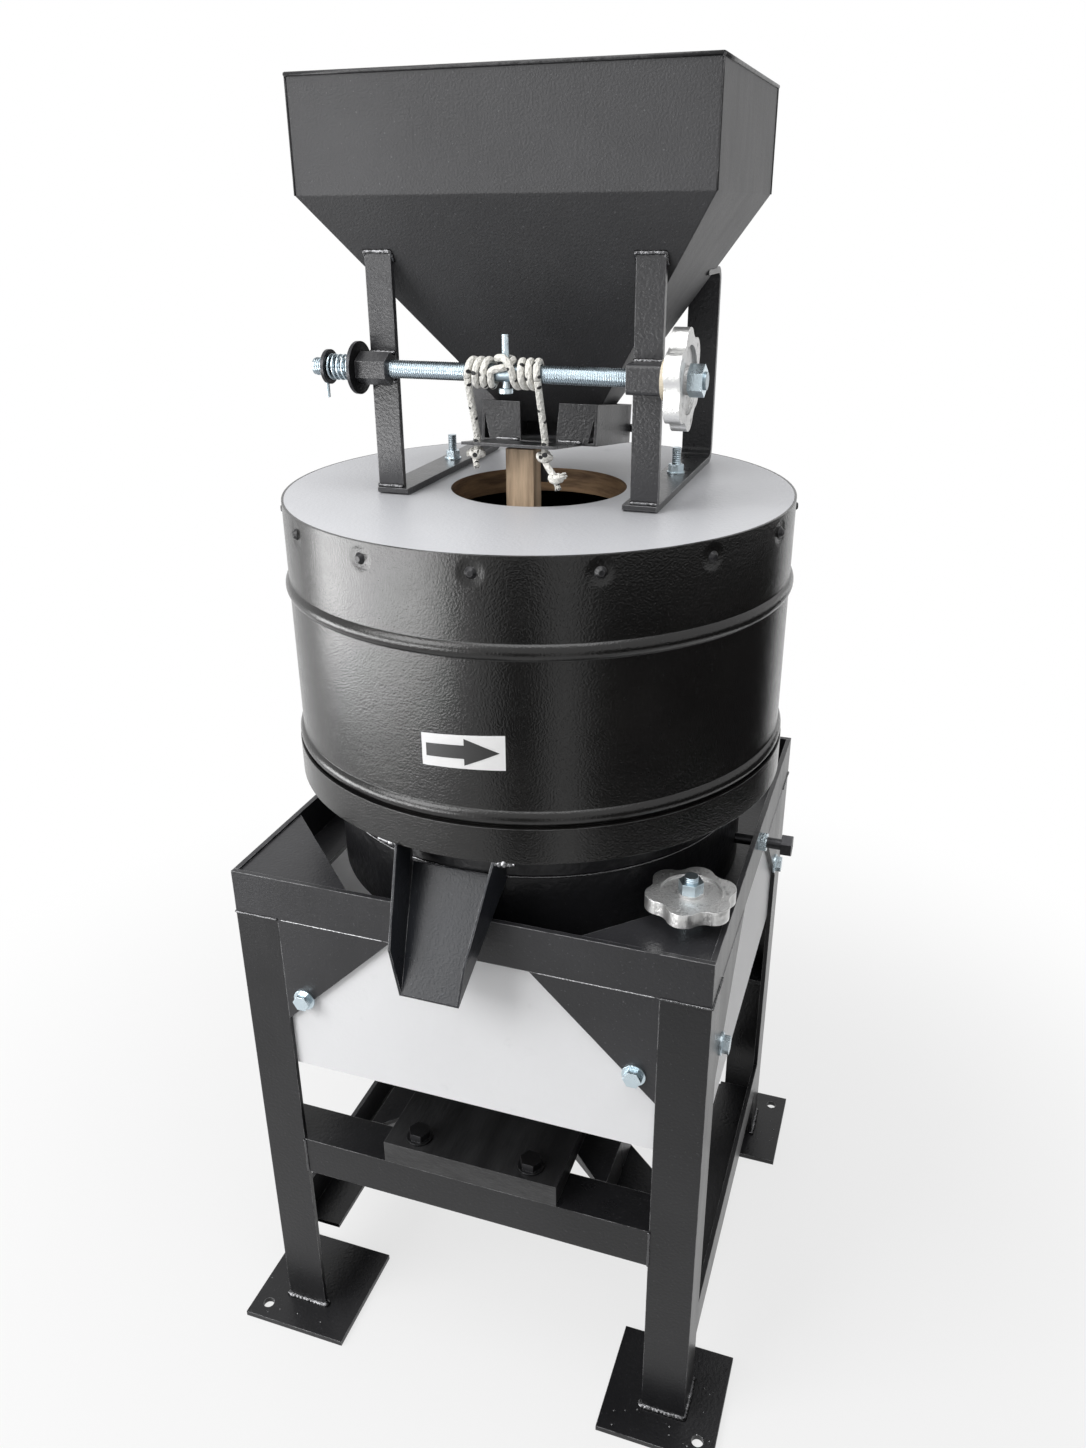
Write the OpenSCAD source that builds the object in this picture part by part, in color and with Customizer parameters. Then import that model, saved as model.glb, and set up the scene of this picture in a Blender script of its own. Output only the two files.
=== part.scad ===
// Belt-driven stone grain mill on an angle-iron stand, in millimetres.
// +Z is up, +X is to the viewer's right and -Y is the front with the flour chute.
// The origin is on the floor, under the mill's vertical axis.

/* [Stand] */
// Outer width and depth of the square stand
stand_w = 460; // [450:5:500]
// Height of the apron's top edge above the floor
stand_h = 575; // [560:5:620]
// Leg width of the steel angles
angle_w = 45; // [40:1:48]
// Thickness of the steel angles
angle_t = 5; // [4:0.5:6]
// Side of a square foot plate
foot_w = 120; // [110:5:130]
// Thickness of a foot plate
foot_t = 6; // [5:1:10]
// Overhang of a foot plate past the leg
foot_out = 36; // [30:1:44]
// Diameter of a floor anchor hole
anchor_d = 12; // [10:1:14]
// Distance of an anchor hole from the plate's outer edges
anchor_in = 18; // [14:1:22]
// Height of the front and rear rails' top
rail_top = 256; // [250:1:270]
// Height of the side rails' underside
side_rail_z = 79; // [50:1:100]
// Thickness of the gussets and of the corner decks
plate_t = 4; // [3:0.5:5]
// Free width of a corner gusset
gusset_w = 118; // [100:1:125]
// Height of a corner gusset
gusset_h = 116; // [100:1:125]
// Height of a guard panel
guard_h = 174; // [150:1:190]
// Thickness of a guard panel
guard_t = 2; // [1.5:0.5:3]
// Diameter of a guard bolt
guard_bolt_d = 10; // [8:1:12]
// Distance of a guard bolt from the leg's inner edge
guard_bolt_in = 20; // [18:1:24]
// Height of a guard bolt above the gusset's tip
guard_bolt_up = 28; // [26:1:34]
// Length of a corner deck's two square edges
deck_l = 115; // [105:1:120]
// Depth of a corner deck's top below the apron's top
deck_drop = 2; // [0:1:6]

/* [Bridge] */
// Width of the bridge plank
plank_w = 184; // [170:1:200]
// Thickness of the bridge plank
plank_t = 25; // [20:1:30]
// Lap of the plank on each bearer
plank_lap = 7; // [5:1:12]
// Diameter of a plank bolt
plank_bolt_d = 12; // [8:1:14]
// Half the distance between the two bolts at one plank end
plank_bolt_x = 60; // [50:1:65]
// Distance of a plank bolt from the plank's end
plank_bolt_in = 18; // [16:1:24]

/* [Spindle] */
// Diameter of the spindle
spindle_d = 35; // [30:1:38]
// Diameter of the spindle's upper end
tip_d = 26; // [22:1:28]
// Radial running clearance of the spindle in its bushes
run_gap = 0.08; // [0.05:0.01:0.1]
// Outer diameter of the drive pulley
pulley_d = 220; // [180:5:240]
// Width of the drive pulley's rim
pulley_w = 46; // [42:1:60]
// Height of the drive pulley's middle
pulley_z = 400; // [380:5:440]
// Depth of a belt groove
groove_h = 14; // [10:1:16]
// Spacing of the belt grooves
groove_step = 19; // [19:0.5:20]
// Outer diameter of the lower bush's body
lower_bush_d = 55; // [50:1:60]
// Diameter of the neck bush in the bed stone's eye
neck_bush_d = 90; // [80:1:96]

/* [Stone lift] */
// Width of the lifting lever
lever_w = 54; // [50:1:58]
// Thickness of the lifting lever
lever_t = 20; // [16:1:22]
// Height of the lever's top at rest
lever_top = 200; // [190:1:202]
// Distance from the spindle's axis to the lever's fulcrum pin
fulcrum_arm = 60; // [54:1:62]
// Diameter of the fulcrum pin
fulcrum_pin_d = 14; // [10:1:15]
// Thickness of the fulcrum's plates
fulcrum_t = 6; // [4:1:7]
// Diameter of the gap screw
gap_screw_d = 12; // [10:1:14]
// Distance of the gap screw from the stand's right face
screw_in_x = 35; // [32:1:40]
// Distance of the gap screw from the stand's front face
screw_in_y = 62; // [60:1:66]

/* [Stones] */
// Outer diameter of the stone pan
pan_d = 412; // [404:1:424]
// Height of the stone pan
pan_h = 71; // [60:1:80]
// Wall of the stone pan
pan_wall = 3; // [2:0.5:4]
// Floor of the stone pan
pan_floor = 5; // [4:0.5:8]
// Height of the bed stone's face above the trough's underside
bed_over = 16; // [12:1:20]
// Diameter of the runner stone without its hoop
runner_d = 396; // [380:1:400]
// Height of the runner stone
runner_h = 165; // [150:1:170]
// Diameter of the runner stone's eye
eye_d = 100; // [90:1:110]
// Wall of the runner's steel hoop
hoop_t = 2.5; // [2:0.5:4]
// Gap between the stones at rest
stone_gap = 0.8; // [0.5:0.1:2]
// Height of the flour trough's sleeve above the pan
sleeve_h = 34; // [28:1:40]
// Outer diameter of the flour trough's band
trough_d = 480; // [480:1:490]
// Height of the flour trough's band
trough_h = 33; // [30:1:44]
// Sheet of the flour trough
trough_t = 2.5; // [2:0.5:3]

/* [Casing] */
// Outer diameter of the casing drum
drum_d = 472; // [466:1:473]
// Sheet of the casing drum
drum_t = 2; // [1.5:0.5:3]
// Height of the casing drum
drum_h = 262; // [250:1:280]
// Height of a rolled bead's crest over the sheet
bead_h = 3.5; // [2:0.5:4]
// Width of a rolled bead along the drum
bead_w = 14; // [10:1:18]
// Depth of the upper bead below the drum's rim
bead_top_drop = 77; // [60:1:90]
// Thickness of the plywood lid
lid_t = 23; // [20:1:28]
// Diameter of the grain eye in the lid
grain_eye_d = 164; // [150:1:170]
// Number of screws around the drum's rim
rim_screw_n = 15; // [8:1:20]
// Depth of the rim screws below the drum's rim
rim_screw_drop = 14; // [10:1:16]

/* [Chute] */
// Sideways place of the flour chute
chute_x = -6; // [-20:1:20]
// Width of the chute at its upper end
chute_w = 92; // [80:1:100]
// Width of the chute at its outlet
outlet_w = 56; // [45:1:70]
// Reach of the outlet in front of the stand
chute_reach = 52; // [40:1:60]
// Fall of the chute floor for each millimetre forward
chute_fall = 1.2; // [1:0.05:1.3]
// Clearance of the chute floor over the apron
chute_clear = 7; // [6:1:12]
// Height of the chute's walls at the outlet
chute_wall_h = 44; // [35:1:50]
// Sheet of the chute
chute_t = 2; // [1.5:0.5:3]

/* [Hopper] */
// Width of the hopper's box
hopper_w = 346; // [320:1:380]
// Depth of the hopper's box
hopper_d = 254; // [244:1:264]
// Place of the hopper's middle behind the mill's axis
hopper_y = 27; // [24:1:30]
// Height of the hopper's box
box_h = 86; // [60:1:120]
// Height of the hopper's tapered part
cone_h = 195; // [190:1:210]
// Height of the hopper's mouth above the lid
mouth_h = 51; // [50:1:56]
// Width of the hopper's mouth
mouth_w = 75; // [60:1:80]
// Front edge of the hopper's mouth behind the mill's axis
mouth_front = 44; // [40:1:48]
// Depth of the hopper's mouth
mouth_d = 59; // [50:1:62]
// Sheet of the hopper
hopper_t = 1.8; // [1.5:0.1:2.5]
// Width of a hopper bracket's flat bar
bracket_w = 30; // [28:1:34]
// Thickness of the brackets and hopper legs
bracket_t = 6; // [5:0.5:7]
// Inner face of a hopper bracket from the middle
bracket_x = 100; // [96:1:104]
// Reach of a bracket in front of the mill's axis
bracket_front = 80; // [78:1:86]
// Reach of a bracket behind the mill's axis
bracket_rear = 165; // [160:1:175]
// Height of a bracket above the lid
bracket_h = 185; // [175:1:192]
// Outer radius of a bracket's bends
bracket_r = 14; // [10:1:18]
// Width of a hopper leg
leg_bar_w = 24; // [20:1:27]
// Setback of a hopper leg from the bracket's front end
leg_set = 11; // [9:1:14]
// Diameter of a bracket stud
stud_d = 8; // [6:1:10]
// Place of the bracket studs behind the mill's axis
stud_y = 66; // [60:1:110]

/* [Feed] */
// Diameter of the feed rod
rod_d = 14; // [12:1:15]
// Height of the feed rod above the lid
rod_h = 111; // [106:1:116]
// Side of a rod sleeve
sleeve_s = 24; // [22:1:28]
// Length of a rod sleeve
sleeve_l = 28; // [26:1:29]
// Diameter of both lobed handwheels
wheel_d = 81; // [76:1:90]
// Thickness of both lobed handwheels
wheel_t = 13; // [12:1:18]
// Number of lobes on a handwheel
wheel_lobes = 6; // [5:1:8]
// Free length of the friction spring
spring_l = 26; // [24:1:32]
// Outer diameter of the friction spring
spring_d = 22; // [21:1:24]
// Wire of the friction spring
spring_wire = 2.4; // [2:0.1:2.5]
// Number of curls in the friction spring
spring_curls = 5; // [4:1:6]
// Diameter of the feed rope
rope_d = 6; // [5:0.5:6]
// Step of the rope's turns along the rod
rope_step = 7; // [7:0.1:7.6]
// Turns of rope in each winding
rope_turns = 3; // [2:1:4]
// Distance of the outer rope turns from the middle
rope_x = 31; // [29:1:34]
// Inner width of the feed shoe
shoe_w = 106; // [100:1:112]
// Length of the feed shoe's box
shoe_l = 119; // [116:1:122]
// Height of the shoe's walls
shoe_wall_h = 34; // [28:1:36]
// Sheet of the feed shoe
shoe_t = 2.5; // [2:0.5:3]
// Upward tilt of the shoe at rest, in degrees
shoe_tilt = 8; // [6:0.5:9]
// Length of the shoe's lip in front of its gate
lip_l = 82; // [78:1:84]
// Width of the shoe's lip
lip_w = 84; // [80:1:90]
// Width of the grain gap between the gate's tabs
gate_gap = 34; // [28:1:36]
// Diameter of the shoe's hinge pin
pin_d = 8; // [6:1:9]
// Place of the shoe's hinge pin behind the mill's axis
pin_y = 126; // [124:1:128]
// Height of the shoe's hinge pin above the lid
pin_h = 35; // [33:1:37]
// Width of the shaker stick
stick_w = 26; // [20:1:28]
// Depth of the shaker stick
stick_d = 20; // [16:1:20]
// Length of the shaker stick
stick_l = 108; // [100:1:110]

/* [Hidden] */
$fn = 96;
// Clearances: loose holes, close joints in one body, faces of moving pieces, sheet on sheet
loose = 0.2;
close = 0.1;
face_gap = 0.3;

// Stand
half = stand_w / 2;
leg_in = half - angle_w;
web = half - angle_t;
apron_z = stand_h - angle_w;
anchor = half + foot_out - anchor_in;
guard_half = web - guard_t - 1;
guard_top = apron_z - 1;
guard_bolt = leg_in - guard_bolt_in;
guard_bolt_z = apron_z - gusset_h + guard_bolt_up;
screw_x = half - screw_in_x;
screw_y = screw_in_y - half;
deck_z = stand_h - deck_drop - plate_t;
plank_top = rail_top + plank_t;
bearer_x = plank_w / 2 - plank_lap;
plank_bolt_y = half - plank_bolt_in;

// Stone lift: the lever lies under the spindle, along the line to the gap screw
lever_turn = atan2(screw_y, screw_x);
screw_arm = norm([screw_x, screw_y]);
lever_z = lever_top - lever_t;
pin_z = lever_top - lever_t / 2;
cup_h = 30;
cup_floor = 8;
cup_d = spindle_d + 17;
pad_d = spindle_d - 3;
pad_h = 10;
pad_z = lever_top + cup_floor + face_gap;
spindle_z = pad_z + pad_h + face_gap;
lever_nut_h = 12;
lever_nut_clear = 0.75;
fulcrum_gap = 1;
fulcrum_y = lever_w / 2 + fulcrum_gap;
fulcrum_half = 18;

// Stones and casing, stacked up from the apron's flanges
pan_z = apron_z + angle_t;
pan_r = pan_d / 2;
pan_in = pan_r - pan_wall;
bed_z = pan_z + pan_floor;
trough_z = pan_z + pan_h + sleeve_h;
bed_top = trough_z + bed_over;
runner_z = bed_top + stone_gap;
runner_top = runner_z + runner_h;
dish_h = 60;
dish_d = 280;
rynd_z = runner_z + 14;
rynd_h = 24;
rynd_l = 150;
rynd_w = 30;
rynd_arm_h = 16;
hub_d = 60;
tip_nut_h = 20;
damsel_h = 30;
damsel_s = 36;
tip_z = runner_top - 16;
drum_z = trough_z + trough_t;
drum_r = drum_d / 2;
lid_top = drum_z + drum_h;
lid_z = lid_top - lid_t;
lid_r = drum_r - drum_t - close;
rim_screw_z = lid_top - rim_screw_drop;
bead_r = (bead_w * bead_w / 4 + bead_h * bead_h) / (2 * bead_h);
bead_top = drum_h - bead_top_drop;
bead_low = trough_h - trough_t + bead_w / 2 + 1;

// Hopper
mouth_z = lid_top + mouth_h;
cone_top = mouth_z + cone_h;
hopper_top = cone_top + box_h;
bracket_out = bracket_x + bracket_w;
leg_y = leg_set - bracket_front;
stud_x = bracket_x + bracket_w / 2;
strip_top = lid_top + bracket_t;
stud_grip = bracket_t + lid_t;

// Feed rod, along X in front of the hopper legs
rod_y = leg_y - sleeve_s / 2;
rod_z = lid_top + rod_h;
sleeve_in = bracket_out - leg_bar_w;
sleeve_out = sleeve_in + sleeve_l;
washer_t = 3;
big_washer_d = 44;
small_washer_d = 29;
spacer_t = 8;
spacer_d = 32;
big_washer_x = -sleeve_out - face_gap - washer_t;
spring_x = big_washer_x - spring_l;
small_washer_x = spring_x - washer_t;
split_pin_d = 4;
split_pin_x = small_washer_x - split_pin_d / 2 - close;
rod_left = split_pin_x - 10;
spacer_x = sleeve_out + face_gap;
feed_wheel_x = spacer_x + spacer_t;
feed_nut_x = feed_wheel_x + wheel_t;
feed_nut_h = 12;
rod_right = feed_nut_x + feed_nut_h + 2;
cross_d = 6;
cross_up = 31;
cross_down = 12;

// Feed shoe, drawn level about its hinge pin and then tilted
shoe_y = pin_y;
shoe_z = lid_top + pin_h;
shoe_floor = 11;
shoe_back = -8;
gate_y = shoe_back - shoe_l;
lip_y = gate_y - lip_l;
lip_hole_y = lip_y + 10;
hole_d = rope_d + 2 * face_gap;
slot_l = 22;
tab_out = 8;
ear_t = 6;
ear_x = shoe_w / 2 - 8;
ear_r = 8;
hanger_t = 4;
hanger_x = shoe_w / 2 + shoe_t + 6;
hanger_len = 90;
hanger_half = 8;
hanger_neck = 30;
hanger_fore = 30;
knot_d = 13;
knot_drop = 3;
function shoe_point(y, z) = [
  shoe_y + y * cos(shoe_tilt) + z * sin(shoe_tilt),
  shoe_z - y * sin(shoe_tilt) + z * cos(shoe_tilt)
];
stick_y = shoe_point(gate_y - slot_l - 20, 0)[0];
stick_top = shoe_point(gate_y - slot_l - 8, -shoe_floor - shoe_t)[1] - face_gap;
clip_t = 3;
clip_h = 32;

// Rope: the runs leave the rod's front and go down to the lip's holes
rope_r = rope_d / 2;
wrap_r = rod_d / 2 + rope_r + loose;
neck_up = 4;
run_foot = shoe_point(lip_hole_y, neck_up - shoe_floor);
run_away = run_foot - [rod_y, rod_z];
run_turn = atan2(run_away[1], run_away[0]) - acos(wrap_r / norm(run_away)) + 360;
run_top = [rod_y + wrap_r * cos(run_turn), rod_z + wrap_r * sin(run_turn)];
run_l = norm(run_foot - run_top);
run_way = (run_foot - run_top) / run_l;
loop_rings = 24;
curl_rings = 8;
tube_sides = 6;

black = [0.09, 0.09, 0.1];
satin = [0.14, 0.14, 0.15];
panel_white = [0.93, 0.93, 0.93];
lid_grey = [0.72, 0.73, 0.75];
zinc = [0.72, 0.76, 0.8];
steel = [0.55, 0.56, 0.58];
alloy = [0.8, 0.8, 0.79];
timber = [0.42, 0.31, 0.22];
stone = [0.68, 0.65, 0.58];
rope_white = [0.92, 0.91, 0.87];
bronze = [0.65, 0.5, 0.25];

// Shared shapes

module hex_prism(flats, h) {
  cylinder(d = flats / cos(30), h = h, $fn = 6);
}

module ring(outer, inner, h) {
  difference() {
    cylinder(r = outer, h = h);
    translate([0, 0, -1]) cylinder(r = inner, h = h + 2);
  }
}

module rounded_rect(w, h, r) {
  translate([r, 0]) square([w - 2 * r, h]);
  translate([0, r]) square([w, h - 2 * r]);
  for (x = [r, w - r], y = [r, h - r]) translate([x, y]) circle(r = r);
}

// A straight tapered prism between two level rectangles [x half, front y, rear y]
function level_corners(r, z) = [[-r[0], r[1], z], [r[0], r[1], z], [r[0], r[2], z], [-r[0], r[2], z]];
function grown(r, by) = [r[0] + by, r[1] - by, r[2] + by];

// Triangles between two neighbouring loops of four corners
function band(a, b) = [
  for (k = [0:3])
    each [[a + k, b + k, b + (k + 1) % 4], [a + k, b + (k + 1) % 4, a + (k + 1) % 4]]
];
// A sheet-metal skin: the loops run up the outside and down the inside
module skin(loops) {
  n = len(loops);
  polyhedron(
    points = [for (l = loops) each l],
    faces = [for (i = [0:n - 1]) each band(4 * i, 4 * ((i + 1) % n))]
  );
}
// A closed tapered block through loops of four corners
module block(loops) {
  end = 4 * len(loops) - 4;
  polyhedron(
    points = [for (l = loops) each l],
    faces = concat(
      [for (i = [0:len(loops) - 2]) each band(4 * i, 4 * i + 4)],
      [[0, 1, 2], [0, 2, 3], [end, end + 2, end + 1], [end, end + 3, end + 2]]
    )
  );
}

// A round tube swept along path points, with one outward direction given at each point
function unit(v) = v / norm(v);
function heading(path, i) = unit(path[min(i + 1, len(path) - 1)] - path[max(i - 1, 0)]);
function tube_ring(c, t, out, r) =
  let (u = unit(out - t * (out * t)), v = cross(t, u))
  [for (k = [0:tube_sides - 1]) c + r * (u * cos(360 * k / tube_sides) + v * sin(360 * k / tube_sides))];
module tube(path, outs, r) {
  s = tube_sides;
  last = s * (len(path) - 1);
  polyhedron(
    points = [for (i = [0:len(path) - 1]) each tube_ring(path[i], heading(path, i), outs[i], r)],
    faces = concat(
      [
        for (i = [0:len(path) - 2], k = [0:s - 1])
          each [
            [s * i + k, s * i + s + k, s * i + (k + 1) % s],
            [s * i + (k + 1) % s, s * i + s + k, s * i + s + (k + 1) % s]
          ]
      ],
      [for (k = [1:s - 2]) [0, k, k + 1]],
      [for (k = [1:s - 2]) [last, last + k + 1, last + k]]
    )
  );
}

// Least gap of a wound tube to itself, between points at least half a turn apart
function self_gap(path, rings, d) =
  min([for (i = [0:len(path) - 1], j = [i + rings / 2:1:len(path) - 1]) norm(path[i] - path[j])]) - d;

// Points and outward directions of a coil round the feed rod
function rod_out(a) = [0, cos(a), sin(a)];
function rod_point(x, r, a) = [x, rod_y, rod_z] + r * rod_out(a);

// Stand

module leg() {
  translate([-half, -half, foot_t]) cube([angle_w, angle_t, apron_z - foot_t]);
  translate([-half, -half, foot_t]) cube([angle_t, angle_w, apron_z - foot_t]);
}
module front_legs() { color(satin) for (side = [0, 1]) mirror([side, 0, 0]) leg(); }
module rear_legs() { rotate(180) front_legs(); }

module foot_plates() {
  outer = half + foot_out;
  color(black) for (turn = [0:90:270]) rotate(turn) difference() {
    translate([-outer, -outer, 0]) cube([foot_w, foot_w, foot_t]);
    translate([-anchor, -anchor, -1]) cylinder(d = anchor_d, h = foot_t + 2);
  }
}

module apron(face_half, flange_half) {
  translate([-face_half, -half, apron_z]) cube([2 * face_half, angle_t, angle_w]);
  translate([-flange_half, -half, apron_z]) cube([2 * flange_half, angle_w, angle_t]);
}
module side_apron() {
  difference() {
    rotate(90) apron(web, leg_in);
    translate([half - angle_t - 1, 0, centring_z]) rotate([0, 90, 0])
      cylinder(d = centring_d + loose, h = angle_t + 2);
  }
}
module apron_front() { color(satin) apron(half, web); }
module apron_rear() { color(satin) rotate(180) apron(half, web); }
module apron_left() { color(satin) mirror([1, 0, 0]) side_apron(); }
module apron_right() {
  color(satin) difference() {
    side_apron();
    translate([screw_x, screw_y, apron_z - 1]) cylinder(d = gap_screw_d + 4, h = angle_t + 2);
  }
}

module rail() {
  translate([-leg_in, -half, rail_top - angle_w]) cube([2 * leg_in, angle_t, angle_w]);
  difference() {
    union() {
      translate([-leg_in, -half, rail_top - angle_t]) cube([2 * leg_in, angle_w, angle_t]);
      translate([-web, -web, rail_top - angle_t]) cube([2 * web, angle_w - angle_t, angle_t]);
    }
    for (s = [-1, 1]) translate([s * plank_bolt_x, -plank_bolt_y, rail_top - angle_t - 1])
      cylinder(d = plank_bolt_d + 2 * loose, h = angle_t + 2);
  }
}
module rail_front() { color(satin) rail(); }
module rail_rear() { color(satin) rotate(180) rail(); }
module side_rails() {
  color(satin) for (turn = [0, 180]) rotate(turn) {
    translate([web, -leg_in, side_rail_z]) cube([angle_t, 2 * leg_in, angle_w]);
    translate([leg_in, -leg_in, side_rail_z]) cube([angle_w, 2 * leg_in, angle_t]);
  }
}

module gusset() {
  difference() {
    translate([0, plate_t - half, 0]) rotate([90, 0, 0]) linear_extrude(plate_t)
      polygon([[leg_in - gusset_w, apron_z], [leg_in, apron_z - gusset_h], [leg_in, apron_z]]);
    guard_bolt_hole();
  }
}
module guard_bolt_hole() {
  translate([guard_bolt, -half - 1, guard_bolt_z]) rotate([-90, 0, 0])
    cylinder(d = guard_bolt_d + 2 * loose, h = angle_t + guard_t + 2);
}
module corner_gussets() {
  color(satin) for (turn = [0:90:270], side = [0, 1]) rotate(turn) mirror([side, 0, 0]) gusset();
}

module guard() {
  difference() {
    translate([-guard_half, -web, guard_top - guard_h]) cube([2 * guard_half, guard_t, guard_h]);
    for (side = [0, 1]) mirror([side, 0, 0]) guard_bolt_hole();
  }
}
module guard_front() { color(panel_white) guard(); }
module side_guards() { color(panel_white) for (turn = [-90, 90]) rotate(turn) guard(); }

// Flanged bolt, with its head in front of the gusset and its nut behind the panel
module guard_bolt() {
  grip = angle_t + guard_t;
  translate([guard_bolt, -half, guard_bolt_z]) rotate([-90, 0, 0]) {
    translate([0, 0, -2]) cylinder(d = 2.2 * guard_bolt_d, h = 2);
    translate([0, 0, -8.5]) hex_prism(1.5 * guard_bolt_d, 6.5);
    translate([0, 0, -1]) cylinder(d = guard_bolt_d, h = grip + 11);
    translate([0, 0, grip]) hex_prism(1.6 * guard_bolt_d, 8);
  }
}
module guard_bolts() {
  color(zinc) for (turn = [-90, 0, 90], side = [0, 1]) rotate(turn) mirror([side, 0, 0]) guard_bolt();
}

// Flat plates in both front corners, of which the right one guides the gap screw
module corner_decks() {
  color(satin) difference() {
    for (side = [0, 1]) mirror([side, 0, 0]) translate([0, 0, deck_z]) linear_extrude(plate_t)
      polygon([[web, -web], [web, deck_l - web], [web - deck_l, -web]]);
    translate([screw_x, screw_y, deck_z - 1]) cylinder(d = gap_screw_d + 2 * run_gap, h = plate_t + 2);
  }
}

// Angle bars beside the plank, with the inner corners of their top flanges cut off
module plank_bearers() {
  out = bearer_x + angle_w;
  cope = angle_w - 12;
  color(satin) for (turn = [0, 180]) rotate(turn) {
    translate([0, 0, rail_top - angle_t]) linear_extrude(angle_t)
      polygon([[bearer_x, cope - leg_in], [bearer_x + cope, -leg_in], [out, -leg_in], [out, leg_in],
               [bearer_x + cope, leg_in], [bearer_x, leg_in - cope]]);
    translate([out - angle_t, -leg_in, rail_top - angle_w])
      cube([angle_t, 2 * leg_in, angle_w]);
  }
}
module bridge_plank() {
  color(black) difference() {
    translate([-plank_w / 2, -half, rail_top]) cube([plank_w, stand_w, plank_t]);
    translate([0, 0, rail_top - 1]) cylinder(d = lower_bush_d + 2 * close, h = plank_t + 2);
    for (x = [-1, 1], y = [-1, 1]) translate([x * plank_bolt_x, y * plank_bolt_y, rail_top - 1])
      cylinder(d = plank_bolt_d + 2 * loose, h = plank_t + 2);
  }
}
module plank_bolts() {
  grip = plank_t + angle_t;
  flats = 1.6 * plank_bolt_d;
  color(black) for (x = [-1, 1], y = [-1, 1]) translate([x * plank_bolt_x, y * plank_bolt_y, plank_top]) {
    cylinder(d = 2.2 * plank_bolt_d, h = 2.5);
    translate([0, 0, 2.5]) hex_prism(flats, 8);
    translate([0, 0, -grip - 14]) cylinder(d = plank_bolt_d, h = grip + 15);
    translate([0, 0, -grip - 10]) hex_prism(flats, 10);
  }
}

// Side bolts that press on the pan to centre it
centring_d = 11;
centring_z = apron_z + angle_w - centring_d;
centring_head = 22;
centring_nut_h = 8;
module centring_bolts() {
  tip = pan_r + close;
  color(black) for (side = [0, 1]) mirror([side, 0, 0]) translate([0, 0, centring_z]) rotate([0, 90, 0]) {
    translate([0, 0, tip]) cylinder(d = centring_d, h = half + centring_head - tip);
    translate([0, 0, half + centring_head]) hex_prism(1.8 * centring_d, 0.95 * centring_d);
  }
}
module centring_nuts() {
  color(zinc) for (side = [0, 1]) mirror([side, 0, 0]) translate([half, 0, centring_z]) rotate([0, 90, 0])
    difference() {
      hex_prism(1.6 * centring_d, centring_nut_h);
      translate([0, 0, -1]) cylinder(d = centring_d + 2 * close, h = centring_nut_h + 2);
    }
}

// Stones and casing

module stone_pan() {
  color(black) translate([0, 0, pan_z]) {
    ring(pan_r, pan_in, pan_h);
    ring(pan_in + 0.5, neck_bush_d / 2 + 6, pan_floor);
  }
}
module bed_stone() {
  color(stone) translate([0, 0, bed_z])
    ring(pan_in - loose, neck_bush_d / 2 + close, bed_top - bed_z);
}
module neck_bush() {
  color(bronze) translate([0, 0, bed_z]) ring(neck_bush_d / 2, spindle_d / 2 + run_gap, bed_top - bed_z - 10);
}
module lower_bush() {
  color(bronze) {
    translate([0, 0, rail_top]) ring(lower_bush_d / 2, spindle_d / 2 + run_gap, plank_t + 8);
    translate([0, 0, plank_top]) ring(0.8 * lower_bush_d, lower_bush_d / 2 - 1, 8);
  }
}

module flour_trough() {
  outer = trough_d / 2;
  mouth_front_y = outer - trough_t - 0.5;
  color(black) difference() {
    union() {
      translate([0, 0, trough_z - sleeve_h]) ring(pan_r, pan_in, sleeve_h + trough_t);
      translate([0, 0, trough_z]) ring(outer - 1, pan_r - 1, trough_t);
      translate([0, 0, trough_z]) ring(outer, outer - trough_t, trough_h);
    }
    intersection() {
      translate([chute_x - chute_w / 2 + 8, -outer, trough_z - 1]) cube([chute_w - 16, outer, trough_t + 2]);
      translate([0, 0, trough_z - 1]) ring(mouth_front_y, pan_r + 0.5, trough_t + 2);
    }
  }
}

// Chute: a tapered channel from under the trough, over the front apron
chute_back = -pan_r - 2;
chute_bend = 3 - trough_d / 2;
chute_out = -half - chute_reach;
chute_flare = 8;
function chute_z(y) = stand_h + chute_clear + chute_fall * (y + half);
function chute_part(y, from, a, b) = a + (b - a) * (y - from) / (chute_out - from);
function chute_loop(y, from, bend_w, up, by) =
  let (low = chute_part(y, chute_back, chute_w / 2, outlet_w / 2) - by)
  let (high = chute_part(y, from, chute_w / 2, bend_w) - by)
  let (top = chute_part(y, from, trough_z, chute_z(chute_out) + chute_wall_h) + up)
  let (z = chute_z(y) - chute_t + by)
  [[-low, y, z], [low, y, z], [high, y, top], [-high, y, top]];
function chute_loops(by, up, more) = [
  let (l = chute_loop(chute_back + more, chute_bend, chute_w / 2, up, by))
    [l[0], l[1], [l[2][0], l[2][1], trough_z + up], [l[3][0], l[3][1], trough_z + up]],
  chute_loop(chute_bend, chute_bend, outlet_w / 2 + chute_flare, up, by),
  chute_loop(chute_out - more, chute_bend, outlet_w / 2 + chute_flare, up, by)
];
module flour_chute() {
  color(black) translate([chute_x, 0, 0]) difference() {
    block(chute_loops(0, 0, 0));
    block(chute_loops(chute_t, 1, 1));
  }
}

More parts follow.
